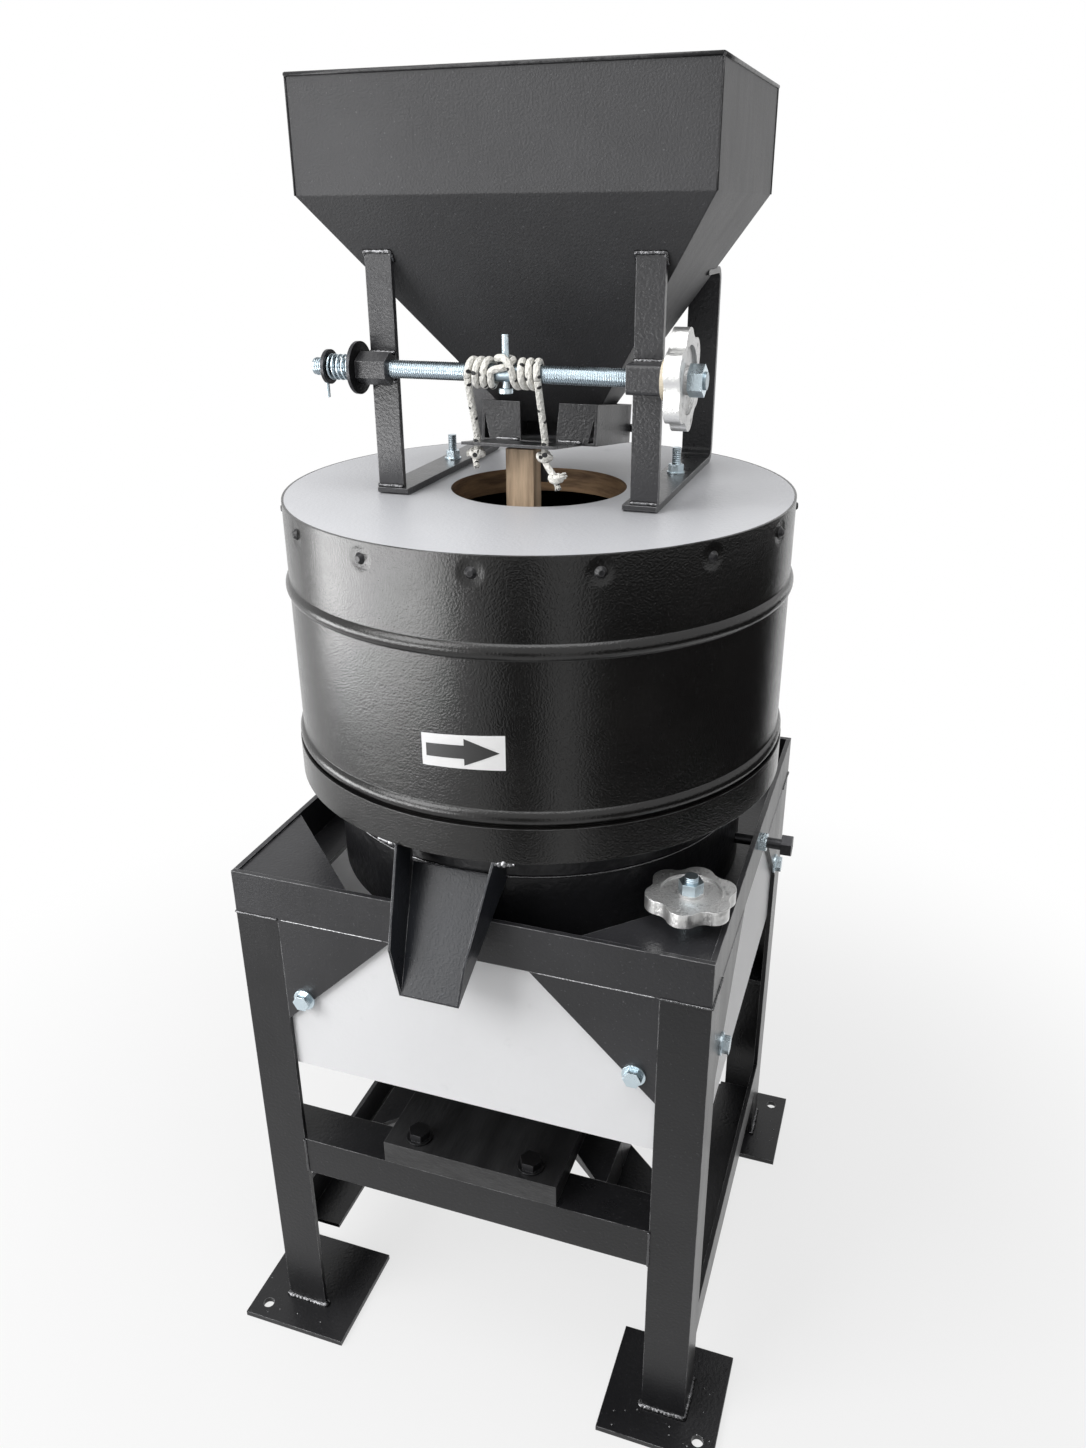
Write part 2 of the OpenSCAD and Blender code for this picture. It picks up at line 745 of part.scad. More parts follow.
// Rolled beads: the lower one stands just above the trough's band
module bead(z) {
  translate([drum_r + bead_h - bead_r, z]) circle(r = bead_r);
}
module casing_drum() {
  color(black) translate([0, 0, drum_z]) difference() {
    rotate_extrude() difference() {
      union() {
        translate([drum_r - drum_t, 0]) square([drum_t, drum_h]);
        bead(bead_top);
        bead(bead_low);
      }
      translate([0, -1]) square([drum_r - drum_t, drum_h + 2]);
    }
    rim_screw_places() translate([drum_r - 8, 0, -drum_z]) rotate([0, 90, 0])
      cylinder(d = 4 + 2 * loose, h = 16);
  }
}
module rim_screw_places() {
  step = 360 / rim_screw_n;
  for (i = [0:rim_screw_n - 1]) rotate(-83.5 + i * step) translate([0, 0, rim_screw_z]) children();
}
module casing_lid() {
  color(lid_grey) difference() {
    translate([0, 0, lid_z]) ring(lid_r, grain_eye_d / 2, lid_t);
    for (s = [-1, 1]) translate([s * stud_x, stud_y, lid_z - 1])
      cylinder(d = stud_d + 2 * loose, h = lid_t + 2);
    rim_screw_places() rotate([0, 90, 0]) translate([0, 0, lid_r - 20]) cylinder(d = 4 + 2 * loose, h = 30);
  }
}
module rim_screws() {
  color(steel) rim_screw_places() rotate([0, 90, 0]) {
    translate([0, 0, drum_r]) cylinder(d1 = 10, d2 = 5, h = 3);
    translate([0, 0, drum_r - 20]) cylinder(d = 4, h = 21);
  }
}

// Runner, spindle and lift

module spindle() {
  color(steel) {
    translate([0, 0, spindle_z]) cylinder(d = spindle_d, h = rynd_z - spindle_z);
    translate([0, 0, rynd_z - 1]) cylinder(d = tip_d, h = tip_z - rynd_z + 1);
  }
}
module belt_grooves() {
  mid = pulley_w / 2;
  for (s = [-0.5, 0.5]) translate([pulley_d / 2, mid + s * groove_step])
    polygon([[1, -8.5], [1, 8.5], [-groove_h, 5.5], [-groove_h, -5.5]]);
}
module drive_pulley() {
  rim = pulley_d / 2 - groove_h - 8;
  color(satin) translate([0, 0, pulley_z - pulley_w / 2]) {
    rotate_extrude() difference() {
      translate([rim, 0]) square([pulley_d / 2 - rim, pulley_w]);
      belt_grooves();
    }
    translate([0, 0, pulley_w / 2 - 6]) ring(rim + 1, spindle_d / 2 + 6, 12);
    ring(spindle_d, spindle_d / 2 + close / 2, pulley_w + 14);
  }
}
module runner_stone() {
  color(stone) difference() {
    translate([0, 0, runner_z]) ring(runner_d / 2 - close, eye_d / 2, runner_h);
    translate([0, 0, runner_top - dish_h]) cylinder(d1 = eye_d, d2 = dish_d, h = dish_h);
    translate([0, 0, runner_top - 0.01]) cylinder(d = dish_d, h = 1);
    translate([-rynd_l / 2 - loose, -rynd_w / 2 - loose, runner_z - 1])
      cube([rynd_l + 2 * loose, rynd_w + 2 * loose, rynd_z + rynd_arm_h - runner_z + 1]);
  }
}
module runner_hoop() {
  color(black) translate([0, 0, runner_z + 12]) ring(runner_d / 2 + hoop_t, runner_d / 2, runner_h - 24);
}
module rynd() {
  color(satin) translate([0, 0, rynd_z]) difference() {
    union() {
      cylinder(d = hub_d, h = rynd_h);
      translate([-rynd_l / 2, -rynd_w / 2, 0]) cube([rynd_l, rynd_w, rynd_arm_h]);
    }
    translate([0, 0, -1]) cylinder(d = tip_d + 2 * close, h = rynd_h + 2);
  }
}
module damsel() {
  nut_z = rynd_z + rynd_h;
  color(steel) difference() {
    union() {
      translate([0, 0, nut_z]) hex_prism(1.5 * tip_d, tip_nut_h);
      translate([0, 0, nut_z]) cylinder(d = tip_d + 8, h = tip_z - nut_z);
      translate([-damsel_s / 2, -damsel_s / 2, tip_z - damsel_h]) cube([damsel_s, damsel_s, damsel_h]);
    }
    translate([0, 0, nut_z - 1]) cylinder(d = tip_d + 2 * close, h = tip_z - nut_z + 2);
  }
}
module thrust_pad() {
  dome_r = 40;
  color(bronze) intersection() {
    translate([0, 0, pad_z]) cylinder(d = pad_d, h = pad_h);
    translate([0, 0, pad_z + dome_r]) sphere(r = dome_r);
  }
}

// The lever, drawn along X from the spindle's axis and turned towards the gap screw
module lifting_lever() {
  back = fulcrum_arm + 25;
  front = screw_arm + 18;
  color(satin) rotate(lever_turn) {
    difference() {
      translate([-back, -lever_w / 2, lever_z]) cube([back + front, lever_w, lever_t]);
      translate([-fulcrum_arm, -lever_w, pin_z]) rotate([-90, 0, 0])
        cylinder(d = fulcrum_pin_d + 2 * run_gap, h = 2 * lever_w);
      translate([screw_arm, 0, lever_z - 1]) cylinder(d = gap_screw_d + 8, h = lever_t + 2);
    }
    translate([screw_arm, 0, lever_z - lever_nut_h]) difference() {
      hex_prism(2.2 * gap_screw_d, lever_nut_h);
      translate([0, 0, -1]) cylinder(d = gap_screw_d + 2 * lever_nut_clear, h = lever_nut_h + 2);
    }
  }
}
module footstep_cup() {
  color(satin) translate([0, 0, lever_top]) difference() {
    cylinder(d = cup_d, h = cup_h);
    translate([0, 0, cup_floor]) cylinder(d = spindle_d + 7, h = cup_h);
  }
}
module lever_fulcrum() {
  drop = lever_z - 8;
  color(satin) rotate(lever_turn) translate([-fulcrum_arm, 0, 0]) {
    for (side = [0, 1]) mirror([0, side, 0]) difference() {
      translate([-fulcrum_half, fulcrum_y, drop]) cube([2 * fulcrum_half, fulcrum_t, rail_top - drop]);
      translate([0, fulcrum_y - 1, pin_z]) rotate([-90, 0, 0])
        cylinder(d = fulcrum_pin_d + 2 * close, h = fulcrum_t + 2);
    }
    translate([-fulcrum_half, -fulcrum_y - 1, rail_top - fulcrum_t])
      cube([2 * fulcrum_half, 2 * fulcrum_y + 2, fulcrum_t]);
  }
  pin_half = fulcrum_y + fulcrum_t + 3;
  color(steel) rotate(lever_turn) translate([-fulcrum_arm, -pin_half, pin_z]) rotate([-90, 0, 0])
    cylinder(d = fulcrum_pin_d, h = 2 * pin_half);
}

// Handwheels

// Each lobe's circle runs smoothly into the hollows beside it
module wheel_outline(r) {
  step = 180 / wheel_lobes;
  away = 1.2 * r;
  bite = 0.36 * r;
  lobe = (r * r + away * away - 2 * r * away * cos(step) - bite * bite) / (2 * (bite + r - away * cos(step)));
  difference() {
    union() {
      circle(r = 0.9 * r);
      for (k = [0:wheel_lobes - 1]) rotate(2 * k * step) translate([r - lobe, 0]) circle(r = lobe);
    }
    for (k = [0:wheel_lobes - 1]) rotate((2 * k + 1) * step) translate([away, 0]) circle(r = bite + close);
  }
}
module lobed_wheel(bore) {
  r = wheel_d / 2;
  difference() {
    linear_extrude(wheel_t) difference() {
      wheel_outline(r);
      circle(d = bore);
    }
    translate([0, 0, wheel_t - 3]) ring(0.66 * r, 0.28 * r, 4);
  }
}
gap_bush_h = 16;
gap_wheel_z = deck_z + plate_t + gap_bush_h;
gap_nut_h = 10;
gap_top = gap_wheel_z + wheel_t + gap_nut_h + 5;
gap_foot = lever_z - lever_nut_h - 18;
module gap_screw() {
  color(zinc) translate([screw_x, screw_y, 0]) {
    translate([0, 0, gap_foot]) cylinder(d = gap_screw_d, h = gap_top - gap_foot);
    translate([0, 0, deck_z - face_gap - 8]) cylinder(d = 2 * gap_screw_d, h = 8);
    translate([0, 0, deck_z + plate_t + face_gap]) cylinder(d = 2 * gap_screw_d, h = gap_bush_h - face_gap);
    translate([0, 0, gap_wheel_z + wheel_t]) hex_prism(1.6 * gap_screw_d, gap_nut_h);
  }
}
module gap_wheel() {
  color(alloy) translate([screw_x, screw_y, gap_wheel_z]) rotate(28) lobed_wheel(gap_screw_d + 2 * close);
}

// Hopper

mouth_rect = [mouth_w / 2, mouth_front, mouth_front + mouth_d];
box_rect = [hopper_w / 2, hopper_y - hopper_d / 2, hopper_y + hopper_d / 2];
module hopper_solid(by) {
  block([
    level_corners(grown(mouth_rect, by), mouth_z),
    level_corners(grown(box_rect, by), cone_top),
    level_corners(grown(box_rect, by), hopper_top)
  ]);
}
module hopper() {
  in = -hopper_t;
  color(satin) skin([
    level_corners(mouth_rect, mouth_z),
    level_corners(box_rect, cone_top),
    level_corners(box_rect, hopper_top),
    level_corners(grown(box_rect, in), hopper_top),
    level_corners(grown(box_rect, in), cone_top),
    level_corners(grown(mouth_rect, in), mouth_z)
  ]);
}
// One flat bar bent twice: along the lid, up behind the hopper and forward to its rear wall
module bracket() {
  depth = bracket_front + bracket_rear;
  in_r = bracket_r - bracket_t;
  color(satin) difference() {
    translate([bracket_x, -bracket_front, lid_top]) rotate([90, 0, 90]) linear_extrude(bracket_w)
      difference() {
        rounded_rect(depth, bracket_h, bracket_r);
        translate([bracket_t, bracket_t])
          rounded_rect(depth - 2 * bracket_t, bracket_h - 2 * bracket_t, in_r);
        translate([-1, bracket_t]) square([depth - bracket_front + 20, bracket_h]);
        translate([-1, -1]) square([bracket_r - bracket_t, bracket_t + 2]);
      }
    hopper_solid(close);
    translate([stud_x, stud_y, lid_top - 1]) cylinder(d = stud_d + 2 * loose, h = bracket_t + 2);
  }
}
module hopper_bracket_left() { mirror([1, 0, 0]) bracket(); }
module hopper_bracket_right() { bracket(); }
module hopper_legs() {
  color(satin) for (side = [0, 1]) mirror([side, 0, 0]) difference() {
    translate([sleeve_in, leg_y, strip_top]) cube([leg_bar_w, bracket_t, cone_top - strip_top]);
    hopper_solid(close);
  }
}
module bracket_studs() {
  color(zinc) for (s = [-1, 1]) translate([s * stud_x, stud_y, strip_top]) {
    translate([0, 0, -stud_grip - 1.5 * stud_d]) cylinder(d = stud_d, h = stud_grip + 4.5 * stud_d);
    cylinder(d = 2.1 * stud_d, h = 1.6);
    translate([0, 0, 1.6]) hex_prism(1.6 * stud_d, 7);
    translate([0, 0, -stud_grip - stud_d]) hex_prism(1.6 * stud_d, stud_d);
  }
}

// Feed rod and what is on it

module along_rod(x) {
  translate([x, rod_y, rod_z]) rotate([0, 90, 0]) children();
}
module rod_sleeve_left() {
  color(black) along_rod(-sleeve_out) difference() {
    hex_prism(sleeve_s, sleeve_l);
    translate([0, 0, -1]) cylinder(d = rod_d + 2 * run_gap, h = sleeve_l + 2);
  }
}
module rod_sleeve_right() {
  color(black) along_rod(sleeve_in) difference() {
    translate([-sleeve_s / 2, -sleeve_s / 2, 0]) linear_extrude(sleeve_l) rounded_rect(sleeve_s, sleeve_s, 4);
    translate([0, 0, -1]) cylinder(d = rod_d + 2 * run_gap, h = sleeve_l + 2);
  }
}
module feed_rod() {
  color(zinc) difference() {
    along_rod(rod_left) cylinder(d = rod_d, h = rod_right - rod_left);
    translate([0, rod_y, rod_z - rod_d]) cylinder(d = cross_d + 2 * close, h = 2 * rod_d);
    translate([split_pin_x, rod_y, rod_z - rod_d]) cylinder(d = split_pin_d + 2 * close, h = 2 * rod_d);
  }
}
module feed_wheel() {
  color(alloy) along_rod(feed_wheel_x) rotate(8) lobed_wheel(rod_d + 2 * close);
}
module rod_washer(x, d, h) {
  along_rod(x) ring(d / 2, rod_d / 2 + close, h);
}
module feed_washers() {
  color(black) {
    rod_washer(big_washer_x, big_washer_d, washer_t);
    rod_washer(small_washer_x, small_washer_d, washer_t);
  }
}
module feed_spacer() { color(rope_white) rod_washer(spacer_x, spacer_d, spacer_t); }
// Wheel nut, split pin and the cross bolt that holds the rope
module feed_fasteners() {
  color(zinc) {
    along_rod(feed_nut_x) difference() {
      hex_prism(1.6 * rod_d, feed_nut_h);
      translate([0, 0, -1]) cylinder(d = rod_d + 2 * close, h = feed_nut_h + 2);
    }
    translate([split_pin_x, rod_y, rod_z - 26]) cylinder(d = split_pin_d, h = 38);
    translate([0, rod_y, rod_z - cross_down]) cylinder(d = cross_d, h = cross_down + cross_up);
    translate([0, rod_y, rod_z - cross_down - 4]) cylinder(d = 2 * cross_d, h = 4);
  }
}

// Spring: wound along the rod between the two washers, with straight ends
spring_r = (spring_d - spring_wire) / 2;
spring_coil = spring_l - 2 * spring_wire - 2 * close;
spring_from = spring_x + close + spring_wire;
spring_n = spring_curls * curl_rings;
spring_turn = [for (i = [0:spring_n]) 360 * i / curl_rings];
spring_path = concat(
  [rod_point(spring_x + close, spring_r, 0)],
  [for (i = [0:spring_n]) rod_point(spring_from + spring_coil * i / spring_n, spring_r, spring_turn[i])],
  [rod_point(spring_x + spring_l - close, spring_r, 0)]
);
spring_outs = concat([rod_out(0)], [for (a = spring_turn) rod_out(a)], [rod_out(0)]);
module feed_spring() { color(zinc) tube(spring_path, spring_outs, spring_wire / 2); }

// Rope windings: each turn steps outwards, and the last one leaves down the rod's front
winding_n = rope_turns * loop_rings;
function winding_turn(i) = run_turn - 360 * (winding_n - i) / loop_rings;
function winding_x(i) = rope_x - rope_step * (winding_n - i) / loop_rings;
run_start = rope_d;
function winding_path(s) =
  let (first = rod_point(s * winding_x(0), wrap_r, winding_turn(0)))
  let (back = -[0, -sin(winding_turn(0)), cos(winding_turn(0))])
  concat(
    [first + rope_d * back],
    [for (i = [0:winding_n]) rod_point(s * winding_x(i), wrap_r, winding_turn(i))],
    [[s * rope_x, run_top[0] + run_start * run_way[0], run_top[1] + run_start * run_way[1]]]
  );
winding_outs = concat(
  [rod_out(winding_turn(0))],
  [for (i = [0:winding_n]) rod_out(winding_turn(i))],
  [rod_out(run_turn)]
);
module rope_windings() {
  color(rope_white) for (s = [-1, 1]) tube(winding_path(s), winding_outs, rope_r);
}
// Straight rope between each winding and the shoe's lip
module rope_runs() {
  from = run_start + face_gap;
  lean = atan2(run_way[0], -run_way[1]);
  color(rope_white) for (s = [-1, 1]) translate([s * rope_x, run_top[0], run_top[1]])
    rotate([180 + lean, 0, 0]) translate([0, 0, from])
      cylinder(r = rope_r, h = run_l - from - rope_r, $fn = 32);
}

// Feed shoe

module in_shoe() {
  translate([0, shoe_y, shoe_z]) rotate([-shoe_tilt, 0, 0]) children();
}
module shoe_tray() {
  side = shoe_w / 2 + shoe_t;
  base = -shoe_floor;
  top = base + shoe_wall_h;
  difference() {
    union() {
      translate([-side, gate_y, base - shoe_t]) cube([2 * side, shoe_l, shoe_t]);
      translate([-lip_w / 2, lip_y, base - shoe_t]) cube([lip_w, lip_l + 1, shoe_t]);
    }
    translate([-gate_gap / 2, gate_y - slot_l - 4, base - shoe_t - 1]) cube([gate_gap, slot_l, shoe_t + 2]);
    for (s = [-1, 1]) translate([s * rope_x, lip_hole_y, base - shoe_t - 1])
      cylinder(d = hole_d, h = shoe_t + 2);
  }
  for (s = [0, 1]) mirror([s, 0, 0]) {
    translate([shoe_w / 2, gate_y, base - shoe_t]) cube([shoe_t, shoe_l, shoe_wall_h + shoe_t]);
    translate([0, gate_y + shoe_t, 0]) rotate([90, 0, 0]) linear_extrude(shoe_t)
      polygon([[gate_gap / 2, base - 1], [side - tab_out, base - 1], [side, top], [gate_gap / 2 + 2, top]]);
  }
  translate([-side, shoe_back - shoe_t, base - shoe_t]) cube([2 * side, shoe_t, shoe_wall_h + shoe_t]);
}
module shoe_ear() {
  rotate([0, 90, 0]) difference() {
    union() {
      cylinder(r = ear_r, h = ear_t);
      translate([-ear_r, shoe_back - 1, 0]) cube([2 * ear_r, -shoe_back + 1, ear_t]);
    }
    translate([0, 0, -1]) cylinder(d = pin_d + 2 * run_gap, h = ear_t + 2);
  }
}
module stick_clip() {
  // Upright plate behind the stick, under the shoe's floor
  plate_z = stick_top - clip_h;
  floor_z = shoe_point(gate_y - slot_l - 4, -shoe_floor - shoe_t / 2)[1];
  translate([-stick_w / 2 - 6, stick_y + stick_d / 2, plate_z])
    cube([stick_w + 12, clip_t, floor_z - plate_z]);
}
module feed_shoe() {
  color(black) {
    in_shoe() {
      shoe_tray();
      for (x = [-ear_x - ear_t, ear_x]) translate([x, 0, 0]) shoe_ear();
    }
    stick_clip();
  }
}
module shoe_hinge() {
  reach = hanger_x + hanger_t;
  color(black) for (s = [0, 1]) mirror([s, 0, 0]) difference() {
    translate([hanger_x, 0, 0]) rotate([90, 0, 90]) linear_extrude(hanger_t) polygon([
      [shoe_y - hanger_half, shoe_z - hanger_half], [shoe_y + hanger_half, shoe_z - hanger_half],
      [shoe_y + hanger_half, shoe_z + hanger_len], [shoe_y - hanger_fore, shoe_z + hanger_len],
      [shoe_y - hanger_half, shoe_z + hanger_neck]
    ]);
    hopper_solid(close);
    translate([hanger_x - 1, shoe_y, shoe_z]) rotate([0, 90, 0])
      cylinder(d = pin_d + 2 * close, h = hanger_t + 2);
  }
  color(zinc) translate([-reach - 3, shoe_y, shoe_z]) rotate([0, 90, 0])
    cylinder(d = pin_d, h = 2 * reach + 6);
}
module shaker_stick() {
  color(timber) translate([-stick_w / 2, stick_y - stick_d / 2, stick_top - stick_l])
    cube([stick_w, stick_d, stick_l]);
}
// Each knot bears on the lip from below, with its neck through the hole
module rope_knots() {
  under = -shoe_floor - shoe_t;
  neck_l = neck_up + shoe_t + knot_drop - rope_r - face_gap;
  color(rope_white) in_shoe() for (s = [-1, 1]) translate([s * rope_x, lip_hole_y, 0]) {
    translate([0, 0, under - knot_d / 2 - close]) sphere(d = knot_d, $fn = 32);
    translate([0, 0, under - knot_drop]) cylinder(r = rope_r, h = neck_l, $fn = 32);
  }
}

echo(str("rope winding, least gap to itself: ", self_gap(winding_path(1), loop_rings, rope_d)));
echo(str("friction spring, least gap to itself: ", self_gap(spring_path, curl_rings, spring_wire)));

front_legs();
rear_legs();
foot_plates();
apron_front();
apron_rear();
apron_left();
apron_right();
rail_front();
rail_rear();
side_rails();
corner_gussets();
guard_front();
side_guards();
guard_bolts();
corner_decks();
plank_bearers();
bridge_plank();
plank_bolts();
centring_bolts();
centring_nuts();
stone_pan();
bed_stone();
neck_bush();
lower_bush();
flour_trough();
flour_chute();
casing_drum();
casing_lid();
rim_screws();
hopper();
hopper_bracket_left();
hopper_bracket_right();
hopper_legs();
bracket_studs();
rod_sleeve_left();
rod_sleeve_right();
shoe_hinge();
lever_fulcrum();
spindle();
drive_pulley();
runner_stone();
runner_hoop();
rynd();
damsel();
thrust_pad();
lifting_lever();
footstep_cup();
gap_screw();
gap_wheel();
feed_rod();
feed_wheel();
feed_washers();
feed_spacer();
feed_fasteners();
feed_spring();
rope_windings();
rope_runs();
feed_shoe();
shaker_stick();
rope_knots();
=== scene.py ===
# %% [markdown]
# # Dressing a stone grain mill
# The solids of the mill come packed with their real sizes and joints. This lesson gives them the looks of
# a workshop-made machine: brushed black paint, raw aluminium, zinc, rope and wood. Everything is in
# metres, +Z is up and -Y is the front with the flour chute.

# %% Load the frame
import math
import random

import bmesh
import bpy
from mathutils import Matrix, Vector


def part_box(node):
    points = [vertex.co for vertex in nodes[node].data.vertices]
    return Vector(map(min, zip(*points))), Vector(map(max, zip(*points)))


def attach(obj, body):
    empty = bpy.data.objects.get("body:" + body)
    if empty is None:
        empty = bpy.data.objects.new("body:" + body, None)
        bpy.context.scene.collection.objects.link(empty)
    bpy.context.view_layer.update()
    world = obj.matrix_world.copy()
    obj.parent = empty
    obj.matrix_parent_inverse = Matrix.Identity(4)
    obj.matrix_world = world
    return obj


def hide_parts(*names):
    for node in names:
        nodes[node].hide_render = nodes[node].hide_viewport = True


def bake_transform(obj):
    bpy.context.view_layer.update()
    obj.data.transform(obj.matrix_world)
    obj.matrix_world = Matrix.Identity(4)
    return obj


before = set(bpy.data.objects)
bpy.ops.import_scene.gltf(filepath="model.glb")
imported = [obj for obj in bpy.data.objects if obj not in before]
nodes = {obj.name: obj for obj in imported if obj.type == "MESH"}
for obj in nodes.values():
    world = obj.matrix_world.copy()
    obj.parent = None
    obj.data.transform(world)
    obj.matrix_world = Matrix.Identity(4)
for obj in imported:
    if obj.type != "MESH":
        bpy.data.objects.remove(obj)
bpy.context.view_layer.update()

# %% [markdown]
# ## The camera
# The viewer stands a little to the right of the mill, with the eye just below the hopper's rim, and looks
# down. Place, heading, pitch and roll were fitted to known sizes of the stand. A camera looks along its
# own -Z, so its matrix is built from the right, up and backward directions.

# %% Camera
IMAGE_H, FOCAL_PX = 1448, 1123.28
EYE = Vector((0.34561, -0.98843, 1.13763))
YAW, PITCH, ROLL = (math.radians(a) for a in (-19.155, 24.524, 0.4146))
forward = Vector((math.sin(YAW) * math.cos(PITCH), math.cos(YAW) * math.cos(PITCH), -math.sin(PITCH)))
level = Vector((math.cos(YAW), -math.sin(YAW), 0.0))
down = forward.cross(level)
right = math.cos(ROLL) * level + math.sin(ROLL) * down
up = math.sin(ROLL) * level - math.cos(ROLL) * down
lens = bpy.data.cameras.new("camera")
lens.sensor_fit = "VERTICAL"
lens.sensor_height = 24.0
lens.lens = lens.sensor_height * FOCAL_PX / IMAGE_H
lens.clip_start = 0.05
camera = bpy.data.objects.new("camera", lens)
camera.matrix_world = Matrix.Translation(EYE) @ Matrix((right, up, -forward)).transposed().to_4x4()
bpy.context.scene.collection.objects.link(camera)
bpy.context.scene.camera = camera
print("camera at", tuple(EYE), "lens", round(lens.lens, 3))

# %% [markdown]
# ## Tubes along a path
# Rope and weld beads are one idea: a circle of edges, extruded from point to point along a smooth path. A
# curve object with a bevel could do it too, but the extruded circle lets the radius ripple, and its UV
# map can count metres along and turns around the tube. Each ring keeps its heading from the ring before,
# so nothing twists.

# %% Tube tools
def smooth(points, per_span):
    """Points of a curve that passes through all the given ones."""
    pts = [Vector(p) for p in points]
    pts = [2 * pts[0] - pts[1]] + pts + [2 * pts[-1] - pts[-2]]
    out = []
    for a, b, c, d in zip(pts, pts[1:], pts[2:], pts[3:]):
        for k in range(per_span):
            t = k / per_span
            bend = (2 * a - 5 * b + 4 * c - d) * t**2 + (3 * b - a - 3 * c + d) * t**3
            out.append(0.5 * (2 * b + (c - a) * t + bend))
    return out + [pts[-2]]


def path_length(points):
    return sum((b - a).length for a, b in zip(points, points[1:]))


def ring_frames(points, radius):
    """A matrix for the ring at each point, and the length walked so far."""
    frames, along, walked = [], [], 0.0
    side = (points[1] - points[0]).orthogonal()
    for i, p in enumerate(points):
        heading = (points[min(i + 1, len(points) - 1)] - points[max(i - 1, 0)]).normalized()
        side = (side - heading * side.dot(heading)).normalized()
        walked += (p - points[i - 1]).length if i else 0.0
        r = radius(walked) if callable(radius) else radius
        turned = Matrix((side, heading.cross(side), heading)).transposed().to_4x4()
        frames.append(Matrix.Translation(p) @ turned @ Matrix.Scale(r, 4))
        along.append(walked)
    return frames, along


def add_tube(bm, points, radius, sides=16):
    """Extrudes one closed tube; radius is a number or a function of the length along the path."""
    uv = bm.loops.layers.uv.verify()
    turn = bm.verts.layers.int.get("turn") or bm.verts.layers.int.new("turn")
    frames, along = ring_frames(points, radius)
    ring = bmesh.ops.create_circle(bm, segments=sides, radius=1.0, matrix=frames[0])["verts"]
    for k, vert in enumerate(ring):
        vert[turn] = k
    edges = first = list({e for v in ring for e in v.link_edges})
    for i in range(1, len(frames)):
        made = bmesh.ops.extrude_edge_only(bm, edges=edges)["geom"]
        ring = {g for g in made if isinstance(g, bmesh.types.BMVert)}
        edges = [g for g in made if isinstance(g, bmesh.types.BMEdge) and all(v in ring for v in g.verts)]
        bmesh.ops.transform(bm, matrix=frames[i] @ frames[i - 1].inverted(), verts=list(ring))
        for face in (g for g in made if isinstance(g, bmesh.types.BMFace)):
            face.smooth = True
            seam = {v[turn] for v in face.verts} == {0, sides - 1}
            for loop in face.loops:
                k = loop.vert[turn]
                around = sides if seam and k == 0 else k
                loop[uv].uv = (along[i] if loop.vert in ring else along[i - 1], around / sides)
    bmesh.ops.edgeloop_fill(bm, edges=first)
    bmesh.ops.edgeloop_fill(bm, edges=edges)


def make(name, build, body, material=None):
    """A new mesh piece that rides on a body; build fills its bmesh."""
    bm = bmesh.new()
    build(bm)
    bmesh.ops.recalc_face_normals(bm, faces=bm.faces)
    turn = bm.verts.layers.int.get("turn")
    if turn is not None:
        bm.verts.layers.int.remove(turn)
    mesh = bpy.data.meshes.new(name)
    bm.to_mesh(mesh)
    bm.free()
    piece = bpy.data.objects.new(name, mesh)
    bpy.context.scene.collection.objects.link(piece)
    if material is not None:
        mesh.materials.append(material)
    if body is not None:
        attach(piece, body)
    return piece


print("tube tools ready")

# %% [markdown]
# ## The feed rope
# One length of 6 mm rope hangs the feed shoe. It is hitched round the cross bolt, wound outwards on both
# sides of it, and each end runs down to a hole in the shoe's lip, where a knot holds it. The windings
# turn with the rod. The two straight runs join the windings to the shoe.

# %% Rope
ROD = Vector((0.0, -0.081, 1.0155))
ROPE_R, WRAP_R, ROPE_X, STEP, TURNS, PER_TURN = 0.003, 0.0102, 0.031, 0.007, 3, 24
# Heading, seen along the rod, at which the rope leaves it on a straight line to the lip
LEAVE = math.radians(199.719)
RUN_TOP = ROD + Vector((0, math.cos(LEAVE), math.sin(LEAVE))) * WRAP_R
PIN, TILT = Vector((0, 0.126, 0.9395)), math.radians(8)
LIP_Y, FLOOR = -0.199, -0.011
FOOT_LIFT, KNOT_DROP, RUN_STEPS, FOOT_STEPS = 0.004, 0.008, 24, 6


def shoe_point(x, y, z):
    """A point given in the shoe's own level frame about its hinge pin."""
    return PIN + Vector((x, y * math.cos(TILT) + z * math.sin(TILT), z * math.cos(TILT) - y * math.sin(TILT)))


def winding(side):
    """Turns round the rod, from the inner end out to where the rope leaves downwards."""
    out = []
    for left in range(PER_TURN * TURNS, -1, -1):
        a = LEAVE - 2 * math.pi * left / PER_TURN
        x = side * (ROPE_X - STEP * left / PER_TURN)
        out.append(ROD + Vector((x, WRAP_R * math.cos(a), WRAP_R * math.sin(a))))
    return out


# The hitch, in millimetres from the rod's middle: across the front, round the bolt and across the front again
HITCH = [
    (-9.6, -11.0, 1.2), (-6.5, -11.4, 3.8), (-1, -10.9, 5.2), (3.6, -8.6, 6.4), (6.5, -4.2, 9.6),
    (6.3, 0.8, 10.5), (3.7, 5.2, 10.9), (-1, 6.6, 11.0), (-5.2, 4.2, 11.2), (-6.7, -0.5, 11.6),
    (-4.8, -5.2, 12.6), (-0.3, -7.6, 13.2), (4.0, -10.8, 12.0), (7.4, -12.4, 8.0), (9.5, -12.0, 3.0),
]
hitch = [ROD + Vector(p) / 1000 for p in HITCH]
left, right_side = winding(-1), winding(1)
turns = list(reversed(left)) + smooth([left[0]] + hitch + [right_side[0]], 5)[1:-1] + right_side
wound = make("feed_rope_wound", lambda bm: add_tube(bm, turns, ROPE_R), "feed_rod")
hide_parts("rope_windings")
path_length(turns)

